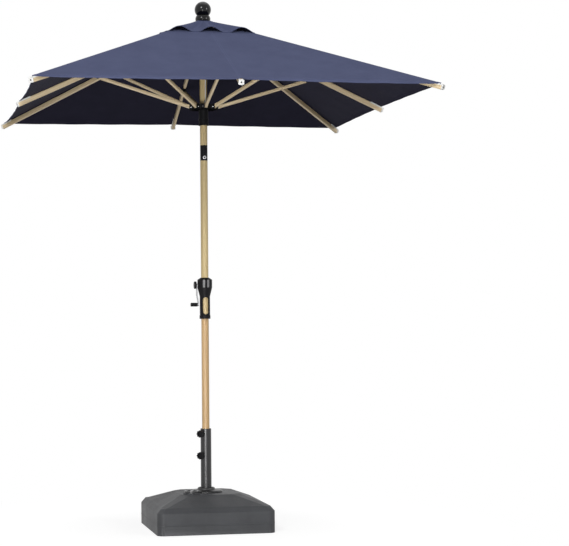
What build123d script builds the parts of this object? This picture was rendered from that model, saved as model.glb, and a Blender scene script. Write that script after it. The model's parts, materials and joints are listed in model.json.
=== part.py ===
from build123d import *

import os
from math import atan2, cos, degrees, hypot, pi, radians, sin, sqrt, tan

# Square market umbrella standing in a fillable base, in millimetres.
# The origin is on the floor under the pole, +Z is up and -Y faces the user.
# Four middle ribs lie along X and Y, and four corner ribs along the diagonals.

# Clearances
RUN = 0.3          # between pieces that move past each other
SLIDE = 0.5        # runner over the pole
SNUG = 0.15        # plugs and sockets that stay put
PIN_PLAY = 0.15    # hinge pin in its hole
CLOTH_GAP = 0.4    # cloth over whatever carries it

# Poles
POLE_R = 19.0
POLE_WALL = 1.6
POLE_JOINT_Z = 1078.0
SPIGOT_LENGTH = 70.0

# Base tank
BASE_SIDE = 596.0
BASE_CORNER_R = 36.0
BASE_WALL = 4.0
BASE_RIM_Z = 108.0
BEVEL_IN = 22.0
BEVEL_RISE = 25.0
SHOULDER_CUT = 26.0
PLATEAU_SIDE = 300.0
PLATEAU_CUT = 42.0
PLATEAU_Z = 182.0
SEAM_Z = 49.0
SEAM_OUT = 1.2
SEAM_HEIGHT = 2.4
WELL_FLOOR_Z = 10.0
FILL_OFFSET = 130.0
FILL_AZIMUTH = 225.0
FILL_BOSS_R = 42.0
FILL_BOSS_RISE = 7.0
FILL_NECK_R = 29.0
FILL_NECK_DEPTH = 22.0
CAP_R = 38.0
CAP_HEIGHT = 9.0
CAP_PLUG = 16.0
CAP_RECESS_R = 28.0
CAP_BAR = 12.0

# Stem, collar and clamp knobs
STEM_R = 27.5
STEM_WALL = 2.6
STEM_TOP_Z = 505.0
COLLAR_R = 83.0
COLLAR_RING_R = 43.0
COLLAR_RISE = 23.0
KNOB_AZIMUTH = 222.0
KNOB_DROPS = {"upper": 25.0, "lower": 136.0}
KNOB_R = 18.5
KNOB_LOBES = 8
KNOB_LENGTH = 20.0
SCREW_R = 4.0
NUT_R = 9.0
NUT_RISE = 7.0

# Crank: the axis is above the pole joint, and the housing is measured from the axis
CRANK_RISE = 162.0
HOUSING_ABOVE = 38.0
HOUSING_BELOW = 173.0
HOUSING_SLEEVE_R = 26.5
HOUSING_BELL_R = 38.0
HOUSING_WALL = 3.0
BELL_BELOW = 15.0
BAR_ABOVE = 7.5
BAR_LENGTH = 39.0
BAR_WIDTH = 11.0
BAR_SPACING = 22.0
BAR_RISE = 1.0
FLARE_BELOW = 58.0
WINDOW_WIDTH = 30.0
WINDOW_LENGTH = 88.0
WINDOW_BELOW = 62.0
CRANK_SHAFT_R = 5.0
CRANK_TURNS = 8
CRANK_ARM = 100.0
CRANK_BAR = 6.0
CRANK_BAR_WIDTH = 15.0
CRANK_CAP_R = 19.0
CRANK_CAP_LENGTH = 11.0
CRANK_LEAN = 7.0
GRIP_R = 9.75
GRIP_LENGTH = 36.0
GRIP_PIN_R = 3.5
SPOOL_HALF = 5.0
SPOOL_FLANGE = 1.5
HOUSING_SCREW_R = 1.6

# Tilt joint: the pin is below the hub, and the rest is measured from the pin
TILT_DROP = 644.0
SOCKET_BELOW = 46.0
HEAD_ABOVE = 33.0
TILT_EYE_R = 16.5
TILT_TONGUE = 20.0
TILT_SLOT = 8.0
TILT_PIN_R = 4.0
TILT_RELIEF = 37.0
TILT_PLUG = 30.0
BUTTON_BELOW = 30.0
BUTTON_R = 9.0
BUTTON_OUT = 1.8
BUTTON_LENGTH = 5.5
BUTTON_TRAVEL = 2.5
SPRING_SOLID = 1.9

# Top hub and ribs
HUB_PIVOT_R = 50.0
HUB_PIVOT_Z = 2570.0
HUB_R = 62.0
HUB_BELOW = 13.0
HUB_ABOVE = 10.0
HUB_CORE_R = 34.0
HUB_CORE_RISE = 8.0
HUB_SOCKET = 30.0
HUB_RING_R = 2.2
RIB_EYE_R = 10.0
RIB_BLADE = 9.0
RIB_WIDTH = 15.0
RIB_HEIGHT = 25.0
RIB_WALL = 1.5
RIB_CORNER = 4.0
RIB_TUBE_START = 24.0
CANOPY_HALF = 961.0
CANOPY_RISE = 419.0
MID_SHORT = 12.0
CORNER_DROP = 2.4
TIP_WALL = 1.6
TIP_LENGTH = 70.0
TIP_SKIRT = 7.0
TIP_END = 5.0
TIP_HOLE_R = 4.5

# Struts and runner
MID_JOINT = 579.0
STRUT_WIDTH = 14.0
STRUT_HEIGHT = 17.0
STRUT_WALL = 1.4
STRUT_CORNER = 4.0
STRUT_EYE_R = 8.5
STRUT_BLADE = 7.0
STRUT_HEAD = 26.0
STRUT_FOOT = 26.0
BRACKET_WALL = 2.2
BRACKET_LUG = 3.0
BRACKET_LENGTH = 40.0
BRACKET_GAP = 1.5
HINGE_PIN_R = 3.0
PIN_STUB = 3.2
CLOSED_ANGLE = radians(87.0)
RUNNER_PIVOT_R = 66.0
RUNNER_DROP = 415.0
RUNNER_RIM = 10.0
RUNNER_HALF = 13.0
RUNNER_SLEEVE = 94.0
RUNNER_SLEEVE_R = 24.0
RUNNER_WEB = 14.0
RUNNER_SCALLOP_R = 15.0
RUNNER_BEAD = 3.0

# Lift cord
CORD_R = 2.0
CORD_AZIMUTH = -80.0
CORD_IN_R = 8.0
CORD_OUT_R = 29.0
PULLEY_WIDTH = 8.0

# Cloth
CLOTH = 1.2
HEM_BACK = 3.0
HEM_SAG = 8.0
VENT_HOLE_HALF = 150.0
VENT_HALF = 225.0
VENT_TOP_HALF = 34.0
VENT_ARCH_LAND = 18.0
VENT_ARCH_CORNER = 33.0
VENT_ARCH_RISE = 27.0
VENT_ARCHES = 3

# Finial
FINIAL_BALL_R = 42.5
FINIAL_NECK_R = 31.0
FINIAL_BULGE_R = 39.0
FINIAL_HEIGHT = 104.0
FINIAL_SEAT_RISE = 28.0
FINIAL_STUD_R = 5.0
FINIAL_STUD = 9.0

RIB_DIRECTIONS = {
    "right": 0.0,
    "back_right": 45.0,
    "back": 90.0,
    "back_left": 135.0,
    "left": 180.0,
    "front_left": 225.0,
    "front": 270.0,
    "front_right": 315.0,
}

# Heights and radii that follow from the sizes above
POLE_BORE_R = POLE_R - POLE_WALL
STEM_BORE_R = STEM_R - STEM_WALL
SHOULDER_Z = BASE_RIM_Z + BEVEL_RISE
VENT_ARCH_SPAN = 2 * (VENT_HALF - VENT_ARCH_CORNER)
VENT_ARCH_STEP = (VENT_ARCH_SPAN + VENT_ARCH_LAND) / VENT_ARCHES
VENT_ARCH_HALF = (VENT_ARCH_STEP - VENT_ARCH_LAND) / 2
KNOB_HEIGHTS = {which: STEM_TOP_Z - drop for which, drop in KNOB_DROPS.items()}
CRANK_Z = POLE_JOINT_Z + CRANK_RISE
HOUSING_TOP_Z = CRANK_Z + HOUSING_ABOVE
HOUSING_BOTTOM_Z = CRANK_Z - HOUSING_BELOW
BELL_BOTTOM_Z = CRANK_Z - BELL_BELOW
FLARE_BOTTOM_Z = CRANK_Z - FLARE_BELOW
WINDOW_TOP_Z = CRANK_Z - WINDOW_BELOW
WINDOW_BOTTOM_Z = WINDOW_TOP_Z - WINDOW_LENGTH
TILT_Z = HUB_PIVOT_Z - TILT_DROP
TILT_BOTTOM_Z = TILT_Z - SOCKET_BELOW
TILT_TOP_Z = TILT_Z + HEAD_ABOVE
BUTTON_Z = TILT_Z - BUTTON_BELOW
BUTTON_SEAT = POLE_R + BUTTON_OUT - BUTTON_LENGTH - BUTTON_TRAVEL - SPRING_SOLID
HUB_BOTTOM_Z = HUB_PIVOT_Z - HUB_BELOW
HUB_TOP_Z = HUB_PIVOT_Z + HUB_ABOVE
FINIAL_SEAT_Z = HUB_PIVOT_Z + FINIAL_SEAT_RISE
FINIAL_TOP_Z = FINIAL_SEAT_Z + FINIAL_HEIGHT
RUNNER_PIVOT_Z = HUB_PIVOT_Z - RUNNER_DROP
RUNNER_TOP_Z = RUNNER_PIVOT_Z + RUNNER_HALF
RUNNER_BOTTOM_Z = RUNNER_PIVOT_Z - RUNNER_SLEEVE
RUNNER_R = RUNNER_PIVOT_R + RUNNER_RIM
RUNNER_CORE_R = RUNNER_PIVOT_R - RUNNER_WEB
STRUT_DROP = RIB_HEIGHT / 2 + STRUT_HEIGHT / 2 + BRACKET_GAP
CORNER_REACH = CANOPY_HALF * sqrt(2)
MID_ANGLE = atan2(CANOPY_RISE, CANOPY_HALF - HUB_PIVOT_R)
CORNER_ANGLE = atan2(CANOPY_RISE + CORNER_DROP, CORNER_REACH - HUB_PIVOT_R)
MID_LENGTH = (CANOPY_HALF - MID_SHORT - HUB_PIVOT_R) / cos(MID_ANGLE)
CORNER_LENGTH = (CORNER_REACH - HUB_PIVOT_R) / cos(CORNER_ANGLE)


def strut_pin(joint, angle):
    """Radius and height of the strut pin on a rib that lies at the given angle."""
    radius = HUB_PIVOT_R + joint * cos(angle) - STRUT_DROP * sin(angle)
    height = HUB_PIVOT_Z - joint * sin(angle) - STRUT_DROP * cos(angle)
    return radius, height


def strut_span(joint, angle, runner_z):
    """Distance from the strut pin on the rib to the strut pin on the runner."""
    radius, height = strut_pin(joint, angle)
    return hypot(radius - RUNNER_PIVOT_R, height - runner_z)


MID_STRUT = strut_span(MID_JOINT, MID_ANGLE, RUNNER_PIVOT_Z)
CLOSED_PIN_R, CLOSED_PIN_Z = strut_pin(MID_JOINT, CLOSED_ANGLE)
RUNNER_CLOSED_Z = CLOSED_PIN_Z - sqrt(MID_STRUT**2 - (CLOSED_PIN_R - RUNNER_PIVOT_R) ** 2)
RUNNER_TRAVEL = RUNNER_PIVOT_Z - RUNNER_CLOSED_Z


def span_terms(angle, runner_z):
    """The strut's squared span is joint**2 + slope * joint + rest."""
    across = HUB_PIVOT_R - STRUT_DROP * sin(angle) - RUNNER_PIVOT_R
    along = HUB_PIVOT_Z - STRUT_DROP * cos(angle) - runner_z
    slope = 2 * (across * cos(angle) - along * sin(angle))
    return slope, across**2 + along**2


# The corner struts keep one length in the open and the closed umbrella.
OPEN_SLOPE, OPEN_REST = span_terms(CORNER_ANGLE, RUNNER_PIVOT_Z)
CLOSED_SLOPE, CLOSED_REST = span_terms(CLOSED_ANGLE, RUNNER_CLOSED_Z)
CORNER_JOINT = (CLOSED_REST - OPEN_REST) / (OPEN_SLOPE - CLOSED_SLOPE)
CORNER_STRUT = strut_span(CORNER_JOINT, CORNER_ANGLE, RUNNER_PIVOT_Z)

# The cloth lies on the rib tips. Its underside crosses the pole axis at CLOTH_APEX_Z.
CLOTH_LIFT = RIB_HEIGHT / 2 + TIP_WALL + CLOTH_GAP
CLOTH_APEX_Z = HUB_PIVOT_Z + HUB_PIVOT_R * tan(MID_ANGLE) + CLOTH_LIFT / cos(MID_ANGLE)
CLOTH_HALF = CANOPY_HALF - HEM_BACK
SPOOL_PITCH_R = RUNNER_TRAVEL / (CRANK_TURNS * 2 * pi)
PULLEY_R = (CORD_OUT_R - CORD_IN_R) / 2
PULLEY_CENTRE_R = (CORD_OUT_R + CORD_IN_R) / 2

BOTTOM = (Align.CENTER, Align.CENTER, Align.MIN)


def save(shape, node):
    """Label one piece and write it."""
    shape.label = node
    export_step(shape, f"parts/{node}.step")


def cut_square(side, cut):
    """Corner points of a square whose corners are cut off."""
    half = side / 2
    near = half - cut
    return [
        (half, -near),
        (half, near),
        (near, half),
        (-near, half),
        (-half, near),
        (-half, -near),
        (-near, -half),
        (near, -half),
    ]


def tank_form(inset, floor_z):
    """The tank's outside drawn in by inset, from floor_z up to the plateau."""
    side = BASE_SIDE - 2 * inset
    rim_z = BASE_RIM_Z - inset / 2
    shoulder_z = SHOULDER_Z - inset
    with BuildPart() as form:
        with BuildSketch(Plane.XY.offset(floor_z)):
            RectangleRounded(side, side, BASE_CORNER_R - inset)
        extrude(amount=rim_z - floor_z)
        with BuildSketch(Plane.XY.offset(rim_z)):
            RectangleRounded(side, side, BASE_CORNER_R - inset)
        with BuildSketch(Plane.XY.offset(shoulder_z)):
            RectangleRounded(side - 2 * BEVEL_IN, side - 2 * BEVEL_IN, BASE_CORNER_R - BEVEL_IN - inset / 2)
        loft(ruled=True)
        with BuildSketch(Plane.XY.offset(shoulder_z)):
            Polygon(*cut_square(side - 2 * BEVEL_IN, SHOULDER_CUT))
        with BuildSketch(Plane.XY.offset(PLATEAU_Z - inset)):
            Polygon(*cut_square(PLATEAU_SIDE - inset, PLATEAU_CUT))
        loft(ruled=True)
    return form.part


def tube(radius, wall, bottom_z, top_z):
    """A plain round tube on the pole axis."""
    with BuildPart() as pipe:
        with BuildSketch(Plane.XY.offset(bottom_z)):
            Circle(radius)
            Circle(radius - wall, mode=Mode.SUBTRACT)
        extrude(amount=top_z - bottom_z)
    return pipe.part


def make_base_tank():
    """Hollow tank with a well for the stem and a neck to fill it through."""
    outside = tank_form(0, 0)
    inside = tank_form(BASE_WALL, BASE_WALL)
    fill_x = FILL_OFFSET * cos(radians(FILL_AZIMUTH))
    fill_y = FILL_OFFSET * sin(radians(FILL_AZIMUTH))
    well_r = STEM_R + SNUG
    with BuildPart() as tank:
        add(outside)
        with BuildSketch(Plane.XY.offset(SEAM_Z - SEAM_HEIGHT / 2)):
            RectangleRounded(BASE_SIDE + 2 * SEAM_OUT, BASE_SIDE + 2 * SEAM_OUT, BASE_CORNER_R + SEAM_OUT)
        extrude(amount=SEAM_HEIGHT)
        add(inside, mode=Mode.SUBTRACT)
        Cylinder(well_r + BASE_WALL, PLATEAU_Z, align=BOTTOM)
        with Locations((fill_x, fill_y, PLATEAU_Z - BASE_WALL)):
            Cylinder(FILL_BOSS_R, BASE_WALL + FILL_BOSS_RISE, align=BOTTOM)
        with Locations((fill_x, fill_y, PLATEAU_Z - FILL_NECK_DEPTH)):
            Cylinder(FILL_NECK_R + BASE_WALL, FILL_NECK_DEPTH, align=BOTTOM)
            Cylinder(FILL_NECK_R, FILL_NECK_DEPTH + FILL_BOSS_RISE, align=BOTTOM, mode=Mode.SUBTRACT)
        with Locations((0, 0, WELL_FLOOR_Z)):
            Cylinder(well_r, PLATEAU_Z, align=BOTTOM, mode=Mode.SUBTRACT)
            Cylinder(STEM_BORE_R - SNUG, SPIGOT_LENGTH / 2, align=BOTTOM)
            Cylinder(POLE_R + RUN, SPIGOT_LENGTH, align=BOTTOM, mode=Mode.SUBTRACT)
        fillet(tank.edges().filter_by(GeomType.CIRCLE).filter_by(
            lambda edge: abs(edge.radius - FILL_BOSS_R) < 0.01).sort_by(Axis.Z)[-1], 2.5)
    return tank.part


def make_fill_cap():
    """Screw cap with a finger bar left between two recesses."""
    seat_z = PLATEAU_Z + FILL_BOSS_RISE
    with BuildPart() as cap:
        with Locations((0, 0, seat_z + RUN)):
            Cylinder(CAP_R, CAP_HEIGHT, align=BOTTOM)
        fillet(cap.edges().sort_by(Axis.Z)[-1], 2.0)
        with Locations((0, 0, seat_z + RUN - CAP_PLUG)):
            Cylinder(FILL_NECK_R - RUN, CAP_PLUG, align=BOTTOM)
            Cylinder(FILL_NECK_R - RUN - BASE_WALL, CAP_PLUG, align=BOTTOM, mode=Mode.SUBTRACT)
        with BuildSketch(Plane.XY.offset(seat_z + RUN + CAP_HEIGHT)):
            Circle(CAP_RECESS_R)
            Rectangle(CAP_BAR, 2 * CAP_R, mode=Mode.SUBTRACT)
        extrude(amount=-(CAP_HEIGHT - 2.0), mode=Mode.SUBTRACT)
    turn = radians(FILL_AZIMUTH)
    place = Location((FILL_OFFSET * cos(turn), FILL_OFFSET * sin(turn), 0))
    return cap.part.rotate(Axis.Z, FILL_AZIMUTH - 65).moved(place)


def make_stem_collar():
    """Round flange that holds the stem on the plateau, with a raised ring."""
    bore_r = STEM_R + SNUG
    ring_in_r = COLLAR_RING_R - 7.0
    with BuildPart() as collar:
        with BuildSketch(Plane.XZ.offset(0)):
            Polygon(
                (bore_r, PLATEAU_Z),
                (COLLAR_R, PLATEAU_Z),
                (COLLAR_R, PLATEAU_Z + 5.0),
                (COLLAR_R - 5.0, PLATEAU_Z + 10.0),
                (COLLAR_RING_R + 3.0, PLATEAU_Z + 14.0),
                (COLLAR_RING_R, PLATEAU_Z + COLLAR_RISE - 2.0),
                (COLLAR_RING_R - 2.0, PLATEAU_Z + COLLAR_RISE),
                (ring_in_r + 1.0, PLATEAU_Z + COLLAR_RISE),
                (ring_in_r, PLATEAU_Z + 16.0),
                (bore_r, PLATEAU_Z + 16.0),
                align=None,
            )
        revolve(axis=Axis.Z)
    return collar.part


def make_stem_tube():
    """Steel stem with a threaded boss for each clamp screw."""
    pipe = tube(STEM_R, STEM_WALL, WELL_FLOOR_Z, STEM_TOP_Z)
    with BuildPart() as stem:
        add(pipe)
        for height in KNOB_HEIGHTS.values():
            with BuildSketch(Plane.YZ.offset(STEM_R - STEM_WALL / 2)):
                with Locations((0, height)):
                    Circle(NUT_R)
            extrude(amount=NUT_RISE + STEM_WALL / 2)
            with BuildSketch(Plane.YZ.offset(STEM_BORE_R - 1.0)):
                with Locations((0, height)):
                    Circle(SCREW_R + PIN_PLAY)
            extrude(amount=NUT_RISE + STEM_WALL + 2.0, mode=Mode.SUBTRACT)
    return stem.part.rotate(Axis.Z, KNOB_AZIMUTH)


def make_clamp_knob(height):
    """Lobed hand knob on a screw that bears on the pole."""
    start = STEM_R + NUT_RISE + RUN
    with BuildPart() as knob:
        with BuildSketch(Plane.YZ.offset(start)):
            Circle(KNOB_R - 3.0)
            with PolarLocations(KNOB_R - 4.5, KNOB_LOBES):
                Circle(4.5)
        extrude(amount=KNOB_LENGTH)
        with BuildSketch(Plane.YZ.offset(start + KNOB_LENGTH)):
            Circle(KNOB_R - 8.0)
        extrude(amount=-4.0, mode=Mode.SUBTRACT)
        with BuildSketch(Plane.YZ.offset(POLE_R + RUN)):
            Circle(SCREW_R)
        extrude(amount=start + 2.0 - POLE_R - RUN)
    return knob.part.moved(Location((0, 0, height))).rotate(Axis.Z, KNOB_AZIMUTH)


def make_lower_pole():
    """Lower pole with the narrow spigot that the middle pole slips over."""
    pipe = tube(POLE_R, POLE_WALL, WELL_FLOOR_Z, POLE_JOINT_Z)
    spigot = tube(POLE_BORE_R - SNUG, POLE_WALL, POLE_JOINT_Z - 40.0, POLE_JOINT_Z + SPIGOT_LENGTH)
    shoulder = tube(POLE_R, POLE_WALL + 1.0, POLE_JOINT_Z - 10.0, POLE_JOINT_Z)
    with BuildPart() as pole:
        add(pipe)
        add(spigot)
        add(shoulder)
    return pole.part


def make_middle_pole():
    """Middle pole with the cross hole for the crank shaft."""
    pipe = tube(POLE_R, POLE_WALL, POLE_JOINT_Z, TILT_BOTTOM_Z)
    with BuildPart() as pole:
        add(pipe)
        with BuildSketch(Plane.YZ.offset(-2 * POLE_R)):
            with Locations((0, CRANK_Z)):
                Circle(CRANK_SHAFT_R + RUN)
        extrude(amount=4 * POLE_R, mode=Mode.SUBTRACT)
    return pole.part


def housing_screw_spots():
    """Across and up positions of the screws that join the two housing shells."""
    across = (POLE_R + HOUSING_SLEEVE_R) / 2 + 0.5
    return [(side * across, z) for side in (-1, 1) for z in (HOUSING_BOTTOM_Z + 9.0, FLARE_BOTTOM_Z + 4.0)]


def make_housing_form():
    """Bell-shaped crank housing before it is parted into two shells."""
    seat_r = POLE_R + 0.02
    with BuildPart() as form:
        with BuildSketch(Plane.XZ):
            Polygon(
                (seat_r, HOUSING_BOTTOM_Z),
                (HOUSING_SLEEVE_R + 1.0, HOUSING_BOTTOM_Z),
                (HOUSING_SLEEVE_R + 1.5, HOUSING_BOTTOM_Z + 1.5),
                (HOUSING_SLEEVE_R + 1.5, HOUSING_BOTTOM_Z + 17.0),
                (HOUSING_SLEEVE_R, HOUSING_BOTTOM_Z + 19.0),
                (HOUSING_SLEEVE_R, FLARE_BOTTOM_Z),
                (HOUSING_SLEEVE_R + 3.5, FLARE_BOTTOM_Z + 14.0),
                (HOUSING_BELL_R - 1.5, BELL_BOTTOM_Z - 4.0),
                (HOUSING_BELL_R, BELL_BOTTOM_Z + 4.0),
                (HOUSING_BELL_R, HOUSING_TOP_Z - 12.0),
                (HOUSING_BELL_R - 2.0, HOUSING_TOP_Z - 9.0),
                (POLE_R + 3.0, HOUSING_TOP_Z),
                (seat_r, HOUSING_TOP_Z),
                align=None,
            )
            Polygon(
                (POLE_R + 3.0, BELL_BOTTOM_Z),
                (HOUSING_BELL_R - HOUSING_WALL, BELL_BOTTOM_Z + 5.0),
                (HOUSING_BELL_R - HOUSING_WALL, HOUSING_TOP_Z - 16.0),
                (POLE_R + 3.0, HOUSING_TOP_Z - 8.0),
                align=None,
                mode=Mode.SUBTRACT,
            )
        revolve(axis=Axis.Z)
    return form.part


def make_crank_housing():
    """Front shell with the window, and back shell, closed round the pole."""
    form = make_housing_form()
    bar_z = CRANK_Z + BAR_ABOVE
    ring = tube(HOUSING_BELL_R + BAR_RISE, HOUSING_WALL, bar_z - BAR_LENGTH / 2, bar_z + BAR_LENGTH / 2)
    with BuildPart() as bars:
        add(ring)
        with BuildSketch(Plane.XZ):
            with GridLocations(BAR_SPACING, 1, 2, 1):
                with Locations((0, bar_z)):
                    RectangleRounded(BAR_WIDTH, BAR_LENGTH, 2.0)
        extrude(amount=2 * HOUSING_BELL_R, mode=Mode.INTERSECT)
    with BuildPart() as front:
        add(form)
        split(bisect_by=Plane.XZ, keep=Keep.TOP)
        with BuildSketch(Plane.XZ.offset(POLE_R / 3)):
            with Locations((0, (WINDOW_BOTTOM_Z + WINDOW_TOP_Z) / 2)):
                SlotOverall(WINDOW_TOP_Z - WINDOW_BOTTOM_Z, WINDOW_WIDTH, rotation=90)
        extrude(amount=2 * HOUSING_BELL_R, mode=Mode.SUBTRACT)
        add(bars.part)
        with BuildSketch(Plane.YZ.offset(-2 * HOUSING_BELL_R)):
            with Locations((0, CRANK_Z)):
                Circle(CRANK_SHAFT_R + RUN)
        extrude(amount=4 * HOUSING_BELL_R, mode=Mode.SUBTRACT)
        with BuildSketch(Plane.XZ):
            with Locations(*housing_screw_spots()):
                Circle(HOUSING_SCREW_R + SNUG)
        extrude(amount=6.0 + SNUG, mode=Mode.SUBTRACT)
    with BuildPart() as back:
        add(form)
        split(bisect_by=Plane.XZ, keep=Keep.BOTTOM)
        with BuildSketch(Plane.YZ.offset(-2 * HOUSING_BELL_R)):
            with Locations((0, CRANK_Z)):
                Circle(CRANK_SHAFT_R + RUN)
        extrude(amount=4 * HOUSING_BELL_R, mode=Mode.SUBTRACT)
        with BuildSketch(Plane.XZ):
            with Locations(*housing_screw_spots()):
                Circle(HOUSING_SCREW_R + SNUG)
        extrude(amount=-HOUSING_BELL_R, mode=Mode.SUBTRACT)
        with BuildSketch(Plane.XZ.offset(-6.0)):
            with Locations(*housing_screw_spots()):
                Circle(2 * HOUSING_SCREW_R + SNUG)
        extrude(amount=-HOUSING_BELL_R, mode=Mode.SUBTRACT)
    return front.part, back.part


def make_housing_screws():
    """Four pan head screws that hold the two shells together."""
    with BuildPart() as screws:
        with BuildSketch(Plane.XZ.offset(6.0)):
            with Locations(*housing_screw_spots()):
                Circle(HOUSING_SCREW_R)
        extrude(amount=-12.0)
        with BuildSketch(Plane.XZ.offset(-6.0)):
            with Locations(*housing_screw_spots()):
                Circle(2 * HOUSING_SCREW_R)
        extrude(amount=-2.2)
    return screws.part


def make_crank_shaft():
    """Shaft across the pole with the cord spool in the middle."""
    core_r = SPOOL_PITCH_R - CORD_R - RUN
    flange_r = sqrt((POLE_BORE_R - 2 * RUN) ** 2 - SPOOL_HALF**2)
    with BuildPart() as shaft:
        with BuildSketch(Plane.YZ.offset(-HOUSING_BELL_R - 1.0)):
            with Locations((0, CRANK_Z)):
                Circle(CRANK_SHAFT_R)
        extrude(amount=2 * HOUSING_BELL_R - HOUSING_WALL)
        with BuildSketch(Plane.YZ.offset(-SPOOL_HALF)):
            with Locations((0, CRANK_Z)):
                Circle(core_r)
        extrude(amount=2 * SPOOL_HALF)
        for start in (-SPOOL_HALF, SPOOL_HALF - SPOOL_FLANGE):
            with BuildSketch(Plane.YZ.offset(start)):
                with Locations((0, CRANK_Z)):
                    Circle(flange_r)
            extrude(amount=SPOOL_FLANGE)
    return shaft.part


def crank_arm_x():
    """Inner face of the crank arm beside the housing."""
    return -(HOUSING_BELL_R + 1.0)


def make_crank_arm():
    """Chromed bar with its black cover cap and the pin for the grip."""
    inner = crank_arm_x()
    outer = inner - CRANK_BAR
    knee_z = CRANK_Z - CRANK_ARM * 0.5
    end_z = CRANK_Z - CRANK_ARM
    with BuildPart() as arm:
        with BuildSketch(Plane.XZ):
            Polygon(
                (inner, CRANK_Z + CRANK_BAR_WIDTH / 2),
                (inner, knee_z),
                (inner + CRANK_LEAN, end_z + 12.0),
                (inner + CRANK_LEAN, end_z - CRANK_BAR_WIDTH / 2),
                (outer + CRANK_LEAN, end_z - CRANK_BAR_WIDTH / 2),
                (outer + CRANK_LEAN, end_z + 12.0),
                (outer, knee_z),
                (outer, CRANK_Z + CRANK_BAR_WIDTH / 2),
                align=None,
            )
        extrude(amount=CRANK_BAR_WIDTH / 2, both=True)
        fillet(arm.edges().filter_by(Axis.X), 5.0)
        with BuildSketch(Plane.YZ.offset(outer + CRANK_LEAN)):
            with Locations((0, end_z)):
                Circle(GRIP_PIN_R)
        extrude(amount=-(GRIP_LENGTH - 4.0))
    with BuildPart() as cap:
        with BuildSketch(Plane.YZ.offset(outer)):
            with Locations((0, CRANK_Z)):
                Circle(CRANK_CAP_R)
        extrude(amount=-CRANK_CAP_LENGTH)
        fillet(cap.edges().sort_by(Axis.X)[0], 3.0)
    return Compound(children=[arm.part, cap.part])


def make_crank_grip():
    """Round grip that spins on the pin of the crank arm."""
    start = crank_arm_x() - CRANK_BAR + CRANK_LEAN - RUN
    with BuildPart() as grip:
        with BuildSketch(Plane.YZ.offset(start)):
            with Locations((0, CRANK_Z - CRANK_ARM)):
                Circle(GRIP_R)
        extrude(amount=-GRIP_LENGTH)
        fillet(grip.edges().filter_by(GeomType.CIRCLE), 2.5)
        with BuildSketch(Plane.YZ.offset(start)):
            with Locations((0, CRANK_Z - CRANK_ARM)):
                Circle(GRIP_PIN_R + PIN_PLAY)
        extrude(amount=-(GRIP_LENGTH - 3.0), mode=Mode.SUBTRACT)
    return grip.part


def across_bar(radius, half, z):
    """Round bar along X through the pole axis."""
    with BuildPart() as bar:
        with BuildSketch(Plane.YZ.offset(-half)):
            with Locations((0, z)):
                Circle(radius)
        extrude(amount=2 * half)
    return bar.part


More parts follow.
